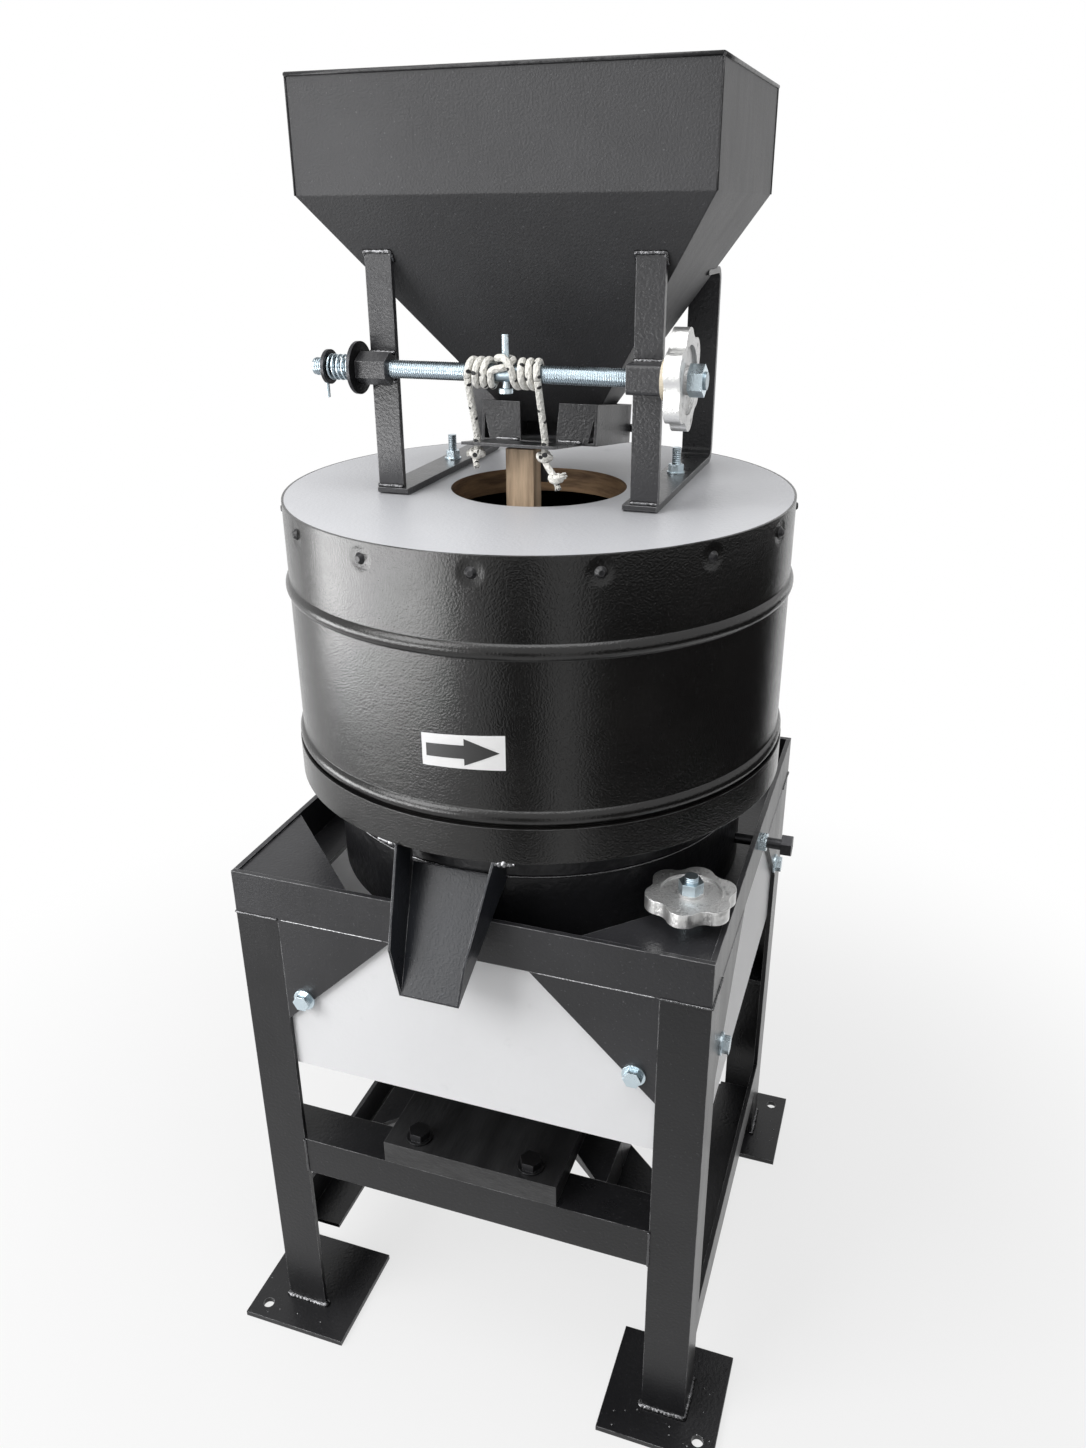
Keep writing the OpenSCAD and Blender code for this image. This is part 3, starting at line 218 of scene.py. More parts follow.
runs = []
for side, word in ((-1, "left"), (1, "right")):
    top = RUN_TOP + Vector((side * ROPE_X, 0, 0))
    foot = shoe_point(side * ROPE_X, LIP_Y, FLOOR + FOOT_LIFT)
    knot = shoe_point(side * ROPE_X, LIP_Y, FLOOR - KNOT_DROP)
    line = [top.lerp(foot, k / RUN_STEPS) for k in range(RUN_STEPS)]
    line += [foot.lerp(knot, k / FOOT_STEPS) for k in range(FOOT_STEPS + 1)]
    run = make("feed_rope_run_" + word, lambda bm: add_tube(bm, line, ROPE_R), None)
    runs.append((run, line, top, foot, side, word))

print("rope on the rod:", round(path_length(turns), 3), "m; each run:", round(path_length(line), 4), "m")

# %% [markdown]
# ## Knots
# An overhand knot is a trefoil drawn tight. A small torus knot of the same rope reads the same way, and
# the cut end frays into a few strands. The right end has a short tail with a second knot.

# %% Knots
TREFOIL_STEPS, STRANDS, STRAND_R, STRAND_TAPER, SPREAD, END_R = 72, 5, 0.0012, 0.05, 0.0022, 0.0026
KNOT_SIDES, STRAND_SIDES, KNOT_Z = 12, 8, FLOOR - 0.0095


def trefoil(centre, big, small, turn):
    out = []
    for k in range(TREFOIL_STEPS + 1):
        t = 2 * math.pi * k / TREFOIL_STEPS + turn
        r = big + small * math.cos(3 * t)
        height = -1.25 * small * math.sin(3 * t)
        out.append(centre + Vector((r * math.cos(2 * t), r * math.sin(2 * t), height)))
    return out


def frayed_end(bm, start, way, length):
    """A rope end that opens into five thin strands."""
    base = Vector(way).normalized()
    side = base.orthogonal().normalized()
    add_tube(bm, smooth([start, start + base * length * 0.6], 6), END_R, KNOT_SIDES)
    for k in range(STRANDS):
        lean = Matrix.Rotation(k * 2 * math.pi / STRANDS, 3, base) @ side
        tip = start + base * length + lean * SPREAD
        strand = smooth([start + base * length * 0.5 + lean * 0.001, tip], 4)
        add_tube(bm, strand, lambda s: STRAND_R - STRAND_TAPER * s, STRAND_SIDES)


def knot_build(side):
    centre = shoe_point(side * ROPE_X, LIP_Y, KNOT_Z)

    def build(bm):
        add_tube(bm, trefoil(centre, 0.0036, 0.0016, 0.4 * side), 0.0027, KNOT_SIDES)
        if side < 0:
            frayed_end(bm, centre + Vector((-0.001, -0.002, -0.004)), (0.35, -0.5, -0.8), 0.009)
            frayed_end(bm, centre + Vector((-0.004, 0, -0.001)), (-0.9, -0.3, 0.1), 0.005)
        else:
            second = centre + Vector((0.012, -0.006, -0.0165))
            tail = [centre, centre + Vector((0.003, -0.003, -0.006)), second]
            add_tube(bm, smooth(tail, 8), 0.0028, KNOT_SIDES)
            add_tube(bm, trefoil(second, 0.0032, 0.0014, 1.1), END_R, KNOT_SIDES)
            frayed_end(bm, second, (0.8, -0.3, 0.35), 0.011)
            frayed_end(bm, second, (0.3, -0.2, -0.9), 0.010)

    return build


for run, line, top, foot, side, word in runs:
    knot = make("rope_knot_" + word, knot_build(side), "shoe")
    if side < 0:
        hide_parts("rope_knots")
    path_length(line)
    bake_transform(run)
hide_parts("rope_runs")
print("two runs with knots under the shoe's lip")

# %% [markdown]
# ## Shader arithmetic
# A material is easier to read as a formula than as a web of nodes. This class wraps one output socket of
# a node tree, so fields add, multiply and mix like numbers, and one method makes any other node.

# %% Fields
class Field:
    """One socket of a node tree, with plain arithmetic."""

    def __init__(self, tree, socket):
        self.tree, self.socket = tree, socket

    def node(self, kind, inputs=(), out=0, **settings):
        """Makes a node in the same tree, sets it, feeds its inputs, and returns one of its outputs."""
        made = self.tree.nodes.new(kind)
        for key, value in settings.items():
            setattr(made, key, value)
        for key, value in dict(inputs).items():
            if isinstance(value, Field):
                self.tree.links.new(value.socket, made.inputs[key])
            else:
                made.inputs[key].default_value = value
        return Field(self.tree, made.outputs[out])

    def maths(self, op, *others):
        return self.node("ShaderNodeMath", dict(enumerate((self, *others))), operation=op)

    def __add__(self, o):
        return self.maths("ADD", o)

    def __sub__(self, o):
        return self.maths("SUBTRACT", o)

    def __mul__(self, o):
        return self.maths("MULTIPLY", o)

    def __truediv__(self, o):
        return self.maths("DIVIDE", o)

    def __rsub__(self, o):
        return (self * -1.0).maths("ADD", o)

    __radd__, __rmul__ = __add__, __mul__

    def band(self, low, high):
        """0 below low, 1 above high, smooth in between."""
        return self.node("ShaderNodeMapRange", {0: self, 1: low, 2: high}, interpolation_type="SMOOTHSTEP")

    def noise(self, scale, detail=3.0, rough=0.55):
        settings = {"Vector": self, "Scale": scale, "Detail": detail, "Roughness": rough}
        return self.node("ShaderNodeTexNoise", settings)

    def mix(self, a, b):
        """Colour a where this field is 0, b where it is 1."""
        a, b = (c if isinstance(c, Field) else (*c, 1.0) for c in (a, b))
        return self.node("ShaderNodeMix", {0: self, 6: a, 7: b}, out=2, data_type="RGBA")


def look(name, paint, edge_radius=0.0, **constants):
    """A material: paint(p, xyz, uv, edge) gives varying values by socket, constants sit on the shader."""
    mat = bpy.data.materials.new(name)
    mat.use_nodes = True
    tree = mat.node_tree
    shader = tree.nodes["Principled BSDF"]
    coords = tree.nodes.new("ShaderNodeTexCoord")
    p = Field(tree, coords.outputs["Object"])
    xyz = [p.node("ShaderNodeSeparateXYZ", {0: p}, out=k) for k in range(3)]
    for key, value in constants.items():
        shader.inputs[key.replace("_", " ")].default_value = value
    rounded = edge = None
    if edge_radius:
        rounded = p.node("ShaderNodeBevel", {"Radius": edge_radius}, samples=4)
        flat = p.node("ShaderNodeNewGeometry", out="Normal")
        facing = p.node("ShaderNodeVectorMath", {0: rounded, 1: flat}, out="Value", operation="DOT_PRODUCT")
        edge = (1.0 - facing).band(0.02, 0.2)
    for key, value in paint(p, xyz, Field(tree, coords.outputs["UV"]), edge).items():
        if key == "Bump":
            feeds = {"Height": value[0], "Distance": value[1], "Strength": 1.0}
            if rounded is not None:
                feeds["Normal"] = rounded
            key, value = "Normal", p.node("ShaderNodeBump", feeds)
        tree.links.new(value.socket, shader.inputs[key])
    return mat


print("shader fields ready")

# %% [markdown]
# ## Paints
# The stand, casing and hopper are painted black. Each paint has its own sheen: cloudy gloss from the
# brush, an orange-peel skin, a little dust, and another colour along sharp edges: bright lines that are
# partly paint worn off and partly painted highlight, and darker lines on the hopper. A bevel node finds those
# edges, and also rounds their shading, so that the sharp solids catch the light like rolled steel.

# %% Paints
SCREW_STEP, SCREW_FIRST, SCREW_Z, CASING_R = math.radians(24), math.radians(-83.5), 0.8905, 0.236


def dimples(xyz):
    """1 on the casing, falling to 0 round each rim screw, where the sheet was drawn in."""
    around = (xyz[1].maths("ARCTAN2", xyz[0]) - SCREW_FIRST) / SCREW_STEP
    across = (around - (around + 0.5).maths("FLOOR")) * (SCREW_STEP * CASING_R)
    up = xyz[2] - SCREW_Z
    return (across * across + up * up).maths("SQRT").band(0.004, 0.013)


def black_paint(name, tone, dust, rough, peel, peel_scale, edge_wear_and_highlight=0.25, stroke=(1, 1, 1), shine=0.35,
                dents=None, rim=(0.42, 0.42, 0.43), rim_width=0.0011):
    def paint(p, xyz, uv, edge):
        cloud = p.noise(7.0, 4.0)
        fine = p.noise(peel_scale, 2.0)
        brush = p.node("ShaderNodeMapping", {"Vector": p, "Scale": stroke}).noise(60.0, 3.0)
        speck = p.noise(420.0, 1.0).band(0.70, 0.76)
        tint = cloud.band(0.3, 0.75).mix(tone, dust)
        # painted highlight: sharp edges take the rim colour, partly as worn paint and partly as painted
        # highlight; the hopper's rim colour is darker than its paint
        edge_wear_and_highlight_mask = edge_wear_and_highlight * edge * p.noise(45.0, 4.0, 0.7).band(0.35, 0.6)
        colour = edge_wear_and_highlight_mask.mix(speck.mix(tint, tuple(1.5 * c + 0.008 for c in dust)), rim)
        gloss = rough + 0.14 * (cloud - 0.5) + 0.10 * (brush - 0.5)
        skin = 0.7 * fine + 0.3 * brush
        if dents:
            skin = skin + 2.2 * dents(xyz)
        return {"Base Color": colour, "Roughness": gloss, "Bump": (skin, peel)}

    return look(name, paint, rim_width, Specular_IOR_Level=shine)


paint_stand = black_paint("stand_paint", (0.019, 0.019, 0.021), (0.030, 0.030, 0.033), 0.33, 0.0004, 300, 1.0,
                          (1, 1, 0.12))
# painted shade: the legs, rails, feet and plank bearers wear a darker copy of the stand paint, because less
# light reaches the lower stand
paint_legs_shaded = black_paint("leg_paint_shaded", (0.008, 0.008, 0.009), (0.014, 0.014, 0.0155), 0.30, 0.0004, 300, 0.8,
                         (1, 1, 0.12))
paint_drum = black_paint("casing_paint", (0.0055, 0.0053, 0.0052), (0.009, 0.0085, 0.008), 0.21, 0.00036, 560,
                         0.2, (0.5, 0.5, 1), 0.45, dents=dimples)
paint_hopper = black_paint("hopper_paint", (0.040, 0.040, 0.042), (0.056, 0.056, 0.0585), 0.46, 0.0006, 520,
                           1.0, (1, 1, 0.3), 0.25, rim=(0.006, 0.006, 0.006), rim_width=0.002)
paint_chute = black_paint("chute_paint", (0.014, 0.0155, 0.019), (0.026, 0.028, 0.034), 0.3, 0.0003, 420, 0.9,
                          (1, 0.2, 0.2), 0.26)
paint_sleeve = black_paint("trough_paint", (0.008, 0.008, 0.009), (0.014, 0.014, 0.016), 0.34, 0.0012, 120,
                           0.3, (0.3, 0.3, 1))
paint_bar = black_paint("bracket_paint", (0.028, 0.028, 0.030), (0.048, 0.048, 0.051), 0.30, 0.0005, 380, 0.8,
                        (1, 1, 0.3), 0.42)
black_paints = (paint_stand, paint_legs_shaded, paint_drum, paint_hopper, paint_chute, paint_sleeve, paint_bar)
print("black paints:", [m.name for m in black_paints])

# %% [markdown]
# ## Pale paints and wood
# The guards are white sheet and the lid is grey paint on plywood. Inside the lid's eye the ply shows its
# brown layers, the shaker stick is raw timber, and the plank's grain prints through its black paint.
# Grain is noise that has been stretched along the fibres.

# %% Pale paints and wood
def pale(name, tone, shade, rough, peel):
    def paint(p, xyz, uv, edge):
        cloud = p.noise(5.0, 3.0)
        fine = p.noise(300.0, 2.0)
        smear = p.noise(26.0, 5.0, 0.65).band(0.62, 0.8)
        colour = (0.3 * smear).mix(cloud.mix(tone, shade), tuple(0.75 * c for c in shade))
        gloss = rough + 0.1 * (cloud - 0.5) + 0.1 * smear
        return {"Base Color": colour, "Roughness": gloss, "Bump": (fine, peel)}

    return look(name, paint)


def timber(name, light, dark, layers, rough, peel):
    def paint(p, xyz, uv, edge):
        warp = p.noise(14.0, 3.0)
        grain = p.node("ShaderNodeMapping", {"Vector": p, "Scale": layers})
        lines = grain.noise(40.0, 6.0, 0.62)
        fibre = grain.noise(160.0, 3.0)
        colour = (0.75 * lines.band(0.35, 0.68) + 0.25 * warp).mix(light, dark)
        height = 0.6 * lines + 0.4 * fibre
        return {"Base Color": colour, "Roughness": rough + 0.15 * (fibre - 0.5), "Bump": (height, peel)}

    return look(name, paint, 0.0011)


paint_white = pale("guard_white", (0.80, 0.80, 0.81), (0.75, 0.755, 0.77), 0.34, 0.0002)
paint_lid = pale("lid_grey", (0.48, 0.485, 0.505), (0.44, 0.445, 0.465), 0.4, 0.0004)
wood_eye = timber("eye_ply", (0.36, 0.225, 0.12), (0.07, 0.036, 0.018), (0.4, 0.4, 3.0), 0.7, 0.0008)
wood_stick = timber("stick_timber", (0.72, 0.54, 0.37), (0.13, 0.08, 0.045), (1.6, 1.6, 0.14), 0.72, 0.0008)
wood_plank = timber("plank_black", (0.024, 0.024, 0.025), (0.004, 0.004, 0.0045), (1.0, 0.2, 2.2), 0.36,
                    0.001)
stone_face = pale("millstone", (0.5, 0.47, 0.41), (0.38, 0.35, 0.3), 0.85, 0.002)
cream = pale("cream_spacer", (0.62, 0.55, 0.43), (0.52, 0.46, 0.35), 0.5, 0.0003)
print("pale paints and woods ready")

# %% [markdown]
# ## Bare metals
# Zinc is bluish and bright. Screw threads are ridges along the bar's own axis, drawn as a sine bump,
# and the same sine darkens the grooves as painted shade. The wheels are sand-cast aluminium: grainy and
# grey on their faces, ground bright on the rim.

# %% Metals
def metal(name, tone, shade, rough, thread=None, pitch=0.002, grain=500.0, peel=0.0002, stain=0.3):
    def paint(p, xyz, uv, edge):
        cloud = p.noise(60.0, 4.0, 0.6)
        dull = p.noise(150.0, 4.0).band(0.55, 0.75) * stain
        colour = dull.mix(cloud.mix(tone, shade), tuple(0.55 * c for c in shade))
        height = p.noise(grain, 2.0)
        if thread is not None:
            ridge = (xyz[thread] * (2 * math.pi / pitch)).maths("SINE") * 0.5 + 0.5
            # painted shade: the same sine darkens the grooves between the ridges
            colour = (0.5 - 0.5 * ridge).mix(colour, tuple(0.32 * c for c in shade))
            height = ridge
        gloss = rough + 0.18 * (cloud - 0.5) + 0.2 * dull
        return {"Base Color": colour, "Roughness": gloss, "Bump": (height, peel)}

    return look(name, paint, 0.0006, Metallic=1.0)


zinc = metal("zinc", (0.62, 0.71, 0.76), (0.48, 0.57, 0.62), 0.28)
zinc_ridge = metal("zinc_ridge", (0.60, 0.69, 0.74), (0.50, 0.58, 0.63), 0.26, peel=0.00002, stain=0.1)
zinc_rod = metal("zinc_rod_core", (0.34, 0.40, 0.44), (0.24, 0.29, 0.32), 0.34)
zinc_screw = metal("zinc_thread", (0.60, 0.68, 0.73), (0.44, 0.52, 0.57), 0.3, 2, 0.00175, peel=0.0007)
alloy = metal("cast_aluminium", (0.66, 0.66, 0.655), (0.46, 0.46, 0.46), 0.42, grain=700.0, peel=0.0009,
              stain=0.95)
alloy_edge = metal("ground_aluminium", (0.88, 0.88, 0.87), (0.76, 0.76, 0.75), 0.36, grain=240.0, peel=0.0004,
                   stain=0.15)
steel = metal("steel", (0.42, 0.42, 0.43), (0.3, 0.3, 0.31), 0.36)
dark_steel = metal("black_bolts", (0.06, 0.06, 0.063), (0.035, 0.035, 0.037), 0.38, stain=0.2)
iron = metal("cast_iron", (0.12, 0.12, 0.125), (0.08, 0.08, 0.083), 0.6, grain=300.0, peel=0.0012)
bronze = metal("bronze", (0.55, 0.38, 0.17), (0.42, 0.28, 0.12), 0.35)
bead_paint = metal("painted_weld", (0.17, 0.17, 0.175), (0.04, 0.04, 0.042), 0.22, grain=420.0, peel=0.0006,
                   stain=0.3)
bead_bare = metal("bare_weld", (0.4, 0.4, 0.41), (0.12, 0.12, 0.125), 0.3, grain=420.0, peel=0.0008,
                  stain=0.5)
print("metals ready")

# %% [markdown]
# ## Rope
# The braid is drawn on the tube's own map: two families of strands cross as they run round, and black
# flecks sit at regular steps along the rope.

# %% Rope material
STRAND_TIGHT, STRAND_TURNS, FLECKS_PER_M = 900.0, 25.13, 95.0


def rope_paint(p, xyz, uv, edge):
    along, around = (p.node("ShaderNodeSeparateXYZ", {0: uv}, out=k) for k in range(2))
    one_way = (along * STRAND_TIGHT + around * STRAND_TURNS).maths("SINE")
    other_way = (along * STRAND_TIGHT - around * STRAND_TURNS).maths("SINE")
    braid = one_way.maths("MAXIMUM", other_way)
    step = (along * FLECKS_PER_M).maths("FRACT") - 0.5
    spot = ((along * FLECKS_PER_M).maths("FLOOR") * 0.37 + around).maths("FRACT") - 0.5
    fleck = (step * 5.2).maths("POWER", 2.0) + (spot * 4.6).maths("POWER", 2.0)
    dark = 1.0 - fleck.band(0.35, 0.6)
    fibre = p.noise(900.0, 3.0)
    white = fibre.band(0.3, 0.8).mix((0.80, 0.79, 0.745), (0.62, 0.605, 0.56))
    return {
        "Base Color": dark.mix(white, (0.012, 0.012, 0.013)),
        "Roughness": 0.8 + 0.1 * (fibre - 0.5),
        "Bump": (0.8 * braid + 0.5 * fibre, 0.0005),
    }


rope_look = look("braided_rope", rope_paint)
rope_pieces = [wound] + [r[0] for r in runs] + [bpy.data.objects["rope_knot_" + w] for w in ("left", "right")]
for piece in rope_pieces:
    piece.data.materials.append(rope_look)
print("rope painted:", len(rope_pieces), "pieces")

# %% [markdown]
# ## Who wears what
# Each solid gets its material. Where one solid has two finishes, such as the lid's painted top and its
# raw eye, the faces are sorted by where they lie.

# %% Materials on the solids
def wear(material, *names):
    for name in names:
        slots = nodes[name].data.materials
        slots.clear()
        slots.append(material)


def wear_where(name, material, test):
    """Gives the faces of a solid that pass the test a second material."""
    mesh = nodes[name].data
    mesh.materials.append(material)
    index = len(mesh.materials) - 1
    for face in mesh.polygons:
        if test(face.center, face.normal):
            face.material_index = index


def off_axis(x, y):
    """Distance of a face from an upright axis."""
    return lambda c: math.hypot(c.x - x, c.y - y)


SCREW_X, SCREW_Y, STUD_X, STUD_Y = 0.195, -0.168, 0.115, 0.066
EYE_EDGE, TROUGH_BAND_Z, TROUGH_BAND_R, WHEEL_RIM_R = 0.0835, 0.6405, 0.2365, 0.03
SCREW_SHANK, STUD_SHANK = 0.0063, 0.0042
from_mill, from_screw = off_axis(0, 0), off_axis(SCREW_X, SCREW_Y)


def from_rod(c):
    return math.hypot(c.y - ROD.y, c.z - ROD.z)


def from_stud(c):
    return math.hypot(abs(c.x) - STUD_X, c.y - STUD_Y)


wear(paint_stand, "apron_front", "apron_rear", "apron_left", "apron_right", "corner_gussets", "corner_decks",
     "lever_fulcrum", "lifting_lever")
wear(paint_legs_shaded, "front_legs", "rear_legs", "foot_plates", "rail_front", "rail_rear", "side_rails",
     "plank_bearers")
wear(paint_bar, "hopper_bracket_left", "hopper_bracket_right", "hopper_legs", "rod_sleeve_left",
     "rod_sleeve_right", "shoe_hinge", "feed_shoe")
wear(paint_white, "guard_front", "side_guards")
wear(paint_drum, "casing_drum")
wear(paint_sleeve, "stone_pan", "flour_trough", "runner_hoop", "rim_screws")
wear(paint_chute, "flour_chute")
wear(paint_hopper, "hopper")
wear(paint_lid, "casing_lid")
wear(wood_plank, "bridge_plank")
wear(wood_stick, "shaker_stick")
wear(stone_face, "bed_stone", "runner_stone")
wear(bronze, "neck_bush", "lower_bush", "thrust_pad")
wear(iron, "drive_pulley", "rynd", "footstep_cup")
wear(steel, "spindle", "damsel")
wear(dark_steel, "plank_bolts", "centring_bolts", "feed_washers")
wear(cream, "feed_spacer")
wear(zinc, "guard_bolts", "centring_nuts", "bracket_studs", "feed_fasteners", "feed_spring", "gap_screw")
wear(zinc_rod, "feed_rod")
wear(alloy, "gap_wheel", "feed_wheel")
wear_where("casing_lid", wood_eye, lambda c, n: from_mill(c) < EYE_EDGE and abs(n.z) < 0.5)
wear_where("flour_trough", paint_drum, lambda c, n: c.z > TROUGH_BAND_Z and from_mill(c) > TROUGH_BAND_R)
wear_where("gap_wheel", alloy_edge, lambda c, n: abs(n.z) < 0.3 and from_screw(c) > WHEEL_RIM_R)
wear_where("feed_wheel", alloy_edge, lambda c, n: abs(n.x) < 0.3 and from_rod(c) > WHEEL_RIM_R)
wear_where("gap_screw", zinc_screw, lambda c, n: abs(n.z) < 0.5 and from_screw(c) < SCREW_SHANK)
wear_where("bracket_studs", zinc_screw, lambda c, n: abs(n.z) < 0.5 and from_stud(c) < STUD_SHANK)
print("materials on", len(nodes), "nodes")

# %% [markdown]
# ## Spring
# The friction spring presses the big washer on the sleeve, so that the rod stays where it is turned. It
# is a circle of wire, spun round the rod while it steps along it: a spin with a step is a helix. Both end
# turns lie flat.

# %% Spring
SPRING_R, WIRE_R, SPRING_TURNS, END_TURN, SPIN_STEPS = 0.0098, 0.00118, 5.0, 0.5, 32


def spring(bm):
    low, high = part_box("feed_spring")
    start, end = low[0] + WIRE_R, high[0] - WIRE_R
    place = Matrix.Translation((start, ROD.y + SPRING_R, ROD.z))
    ring = bmesh.ops.create_circle(bm, cap_ends=True, segments=12, radius=WIRE_R, matrix=place)["verts"]
    geom = ring + list({e for v in ring for e in v.link_edges})
    geom += list({f for v in ring for f in v.link_faces})
    for part, climb in ((END_TURN, 0.0), (SPRING_TURNS, end - start), (END_TURN, 0.0)):
        steps = int(SPIN_STEPS * part)
        made = bmesh.ops.spin(bm, geom=geom, cent=ROD, axis=(1, 0, 0), dvec=(climb / steps, 0, 0),
                              angle=2 * math.pi * part, steps=steps)
        geom = made["geom_last"]
    for face in bm.faces:
        face.smooth = len(face.verts) == 4


coil = make("friction_spring", spring, "feed_rod", zinc)
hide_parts("feed_spring")
print("spring wound,", len(coil.data.polygons), "faces")

# %% [markdown]
# ## Thread on the feed rod
# The rod is threaded bar. The solid is its core, and one triangular ridge, spun along it with the
# thread's pitch, makes the thread where it can be seen: between each sleeve and the rope, and on the stub
# at the left end.

# %% Rod thread
PITCH_M, CORE_R, CREST_R, ROPE_HALF = 0.002, 0.0069, 0.0076, 0.0335
RIDGE_HALF, THREAD_STEPS, END_GAP, STUB_END = 0.42 * PITCH_M, 20, 0.0012, 0.0075


def thread(bm, start, end):
    profile = [(-RIDGE_HALF, CORE_R), (0.0, CREST_R), (RIDGE_HALF, CORE_R)]
    verts = [bm.verts.new((start + x, ROD.y + r, ROD.z)) for x, r in profile]
    face = bm.faces.new(verts)
    count = (end - start) / PITCH_M
    steps = int(THREAD_STEPS * count)
    bmesh.ops.spin(bm, geom=verts + list(face.edges) + [face], cent=ROD, axis=(1, 0, 0),
                   dvec=(PITCH_M * count / steps, 0, 0), angle=2 * math.pi * count, steps=steps)


def threads(bm):
    sleeve_left, sleeve_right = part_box("rod_sleeve_left"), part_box("rod_sleeve_right")
    rod_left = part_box("feed_rod")[0][0]
    thread(bm, sleeve_left[1][0] + END_GAP, -ROPE_HALF)
    thread(bm, ROPE_HALF, sleeve_right[0][0] - END_GAP)
    thread(bm, rod_left + END_GAP, rod_left + STUB_END)


ridges = make("rod_thread", threads, "feed_rod", zinc_ridge)
print("thread cut,", len(ridges.data.polygons), "faces")

# %% [markdown]
# ## Hopper hem
# The sheet's top edge is folded over a wire, and the corners are closed with a thin black seam. Both are
# slim tubes along the solid's own edges, whose corners are read from its mesh.

# %% Hopper hem
HEM_R, SEAM_R = 0.0017, 0.0009


def hopper_corner(sx, sy, low, high):
    """The hopper's outermost point towards one corner, between two heights."""
    level = [v.co for v in nodes["hopper"].data.vertices if low < v.co.z < high]
    return max(level, key=lambda c: sx * c.x + sy * c.y).copy()


def hem(bm):
    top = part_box("hopper")[1][2]
    signs = [(-1, -1), (1, -1), (1, 1), (-1, 1)]
    rim = [hopper_corner(sx, sy, top - 0.002, top + 0.001) for sx, sy in signs]
    for k, start in enumerate(rim):
        add_tube(bm, [start.lerp(rim[(k + 1) % 4], part / 6) for part in range(7)], HEM_R, 10)
    for (sx, sy), start in zip(signs, rim):
        bend = hopper_corner(sx, sy, top - 0.12, top - 0.06)
        add_tube(bm, [start.lerp(bend, part / 4) for part in range(5)], SEAM_R, 8)


hemmed = make("hopper_hem", hem, "frame", paint_sleeve)
print("hem and corner seams,", len(hemmed.data.polygons), "faces")

# %% [markdown]
# ## Arrow sticker
# A white sticker on the drum shows the stone's turning direction with a plain arrow. Both are flat grids
# whose points are moved onto the drum's curve; the sticker was put on a little askew.

# %% Sticker
STICKER_FROM, STICKER_ARC = -95.2, 17.5
SHAFT_FROM, SHAFT_L, HEAD_FROM, HEAD_L, ARROW_STEPS = 0.055, 0.4649, 0.5201, 0.4145, 12


def sticker_point(u, v, lift):
    """u runs left to right and v up on the sticker, both 0 to 1."""
    low, high = 0.7227 + 0.0026 * u, 0.7517 + 0.0049 * u
    a = math.radians(STICKER_FROM + STICKER_ARC * u)
    r = CASING_R + lift
    return Vector((r * math.cos(a), r * math.sin(a), low + (high - low) * v))


def patch(columns, half_height, lift):
    """A grid with given columns, bent onto the drum; half_height says how tall it is at each column."""
    def build(bm):
        bmesh.ops.create_grid(bm, x_segments=len(columns) - 1, y_segments=1, size=1.0)
        for vert in bm.verts:
            k = round((vert.co.x + 1) / 2 * (len(columns) - 1))
            u = columns[k]
            vert.co = sticker_point(u, 0.5 + math.copysign(half_height(u), vert.co.y), lift)
        for face in bm.faces:
            face.smooth = True

    return build


def arrow_half(u):
    """A shaft, then a head that runs to a point."""
    return 0.2 if u < 0.52 else 0.40 * (0.935 - u) / 0.415


def printed(name, tone):
    def paint(p, xyz, uv, edge):
        cloud = p.noise(60.0, 3.0)
        return {"Base Color": cloud.mix(tone, tuple(0.86 * c for c in tone)), "Roughness": 0.35 + 0.1 * cloud}

    return look(name, paint)


white = make("arrow_sticker", patch([k / 24 for k in range(25)], lambda u: 0.5, 0.00015), "frame",
             printed("sticker_white", (0.82, 0.82, 0.82)))
shaft = [SHAFT_FROM + SHAFT_L * k / ARROW_STEPS for k in range(ARROW_STEPS + 1)]
head = [HEAD_FROM + HEAD_L * k / ARROW_STEPS for k in range(ARROW_STEPS + 1)]
arrow = make("arrow_mark", patch(shaft + head, arrow_half, 0.00035), "frame",
             printed("sticker_black", (0.012, 0.012, 0.012)))
print("sticker of", len(white.data.polygons), "faces, arrow of", len(arrow.data.polygons))

# %% [markdown]
# ## Weld beads
# Bars are joined by hand-laid beads: short rippled tubes of uneven height along each seam, with spatter
# round the feet. Most were painted over; at the chute's corners the weld is lumpy and shiny.

# %% Welds
rng = random.Random(7)
BEAD_STEP, WOBBLE, RIPPLE, SWELL = 0.0014, 0.12, 700.0, 173.0
HALF, INNER, WEB, GUSSET_W = 0.230, 0.185, 0.225, 0.118
JOINT_Z, FOOT_Z, RAIL_LOW, RAIL_TOP, PLATE_TOP = 0.530, 0.0068, 0.211, 0.256, 0.006
SPATTER_LOW, SPATTER_HIGH, SPATTER_N = 0.155, 0.262, 26
LEG_IN, LEG_OUT, LEG_FRONT, LEG_BACK, LEG_TOP, LEG_CUT = 0.106, 0.130, -0.0693, -0.0630, 1.1083, 1.1000


def bead(bm, points, r):
    """A rippled bead along a polyline of points."""
    points = [Vector(p) for p in points]
    wobbly = []
    for a, b in zip(points, points[1:]):
        count = max(3, int((b - a).length / BEAD_STEP))
        wobbly += [a.lerp(b, k / count) for k in range(count)]
    wobbly = [p + Vector([rng.uniform(-1, 1) * WOBBLE * r for _ in range(3)]) for p in wobbly + [points[-1]]]

    def height(s):
        return r * (0.8 + 0.24 * abs(math.sin(s * RIPPLE)) + 0.1 * math.sin(s * SWELL))

    add_tube(bm, wobbly, height, 8)


def mirrored(bm, sx, sy, points, r):
    bead(bm, [(sx * x, sy * y, z) for x, y, z in points], r)


def seam_beads(bm):
    """Thin bare lines along the gussets' top edges."""
    for s in (-1, 1):
        for turn in range(3):
            spin = Matrix.Rotation(math.radians(90 * (turn - 1)), 3, "Z")
            ends = [(s * (INNER - part * GUSSET_W), -HALF, JOINT_Z) for part in (0.03, 0.93)]
            bead(bm, [spin @ Vector(end) for end in ends], 0.0006)


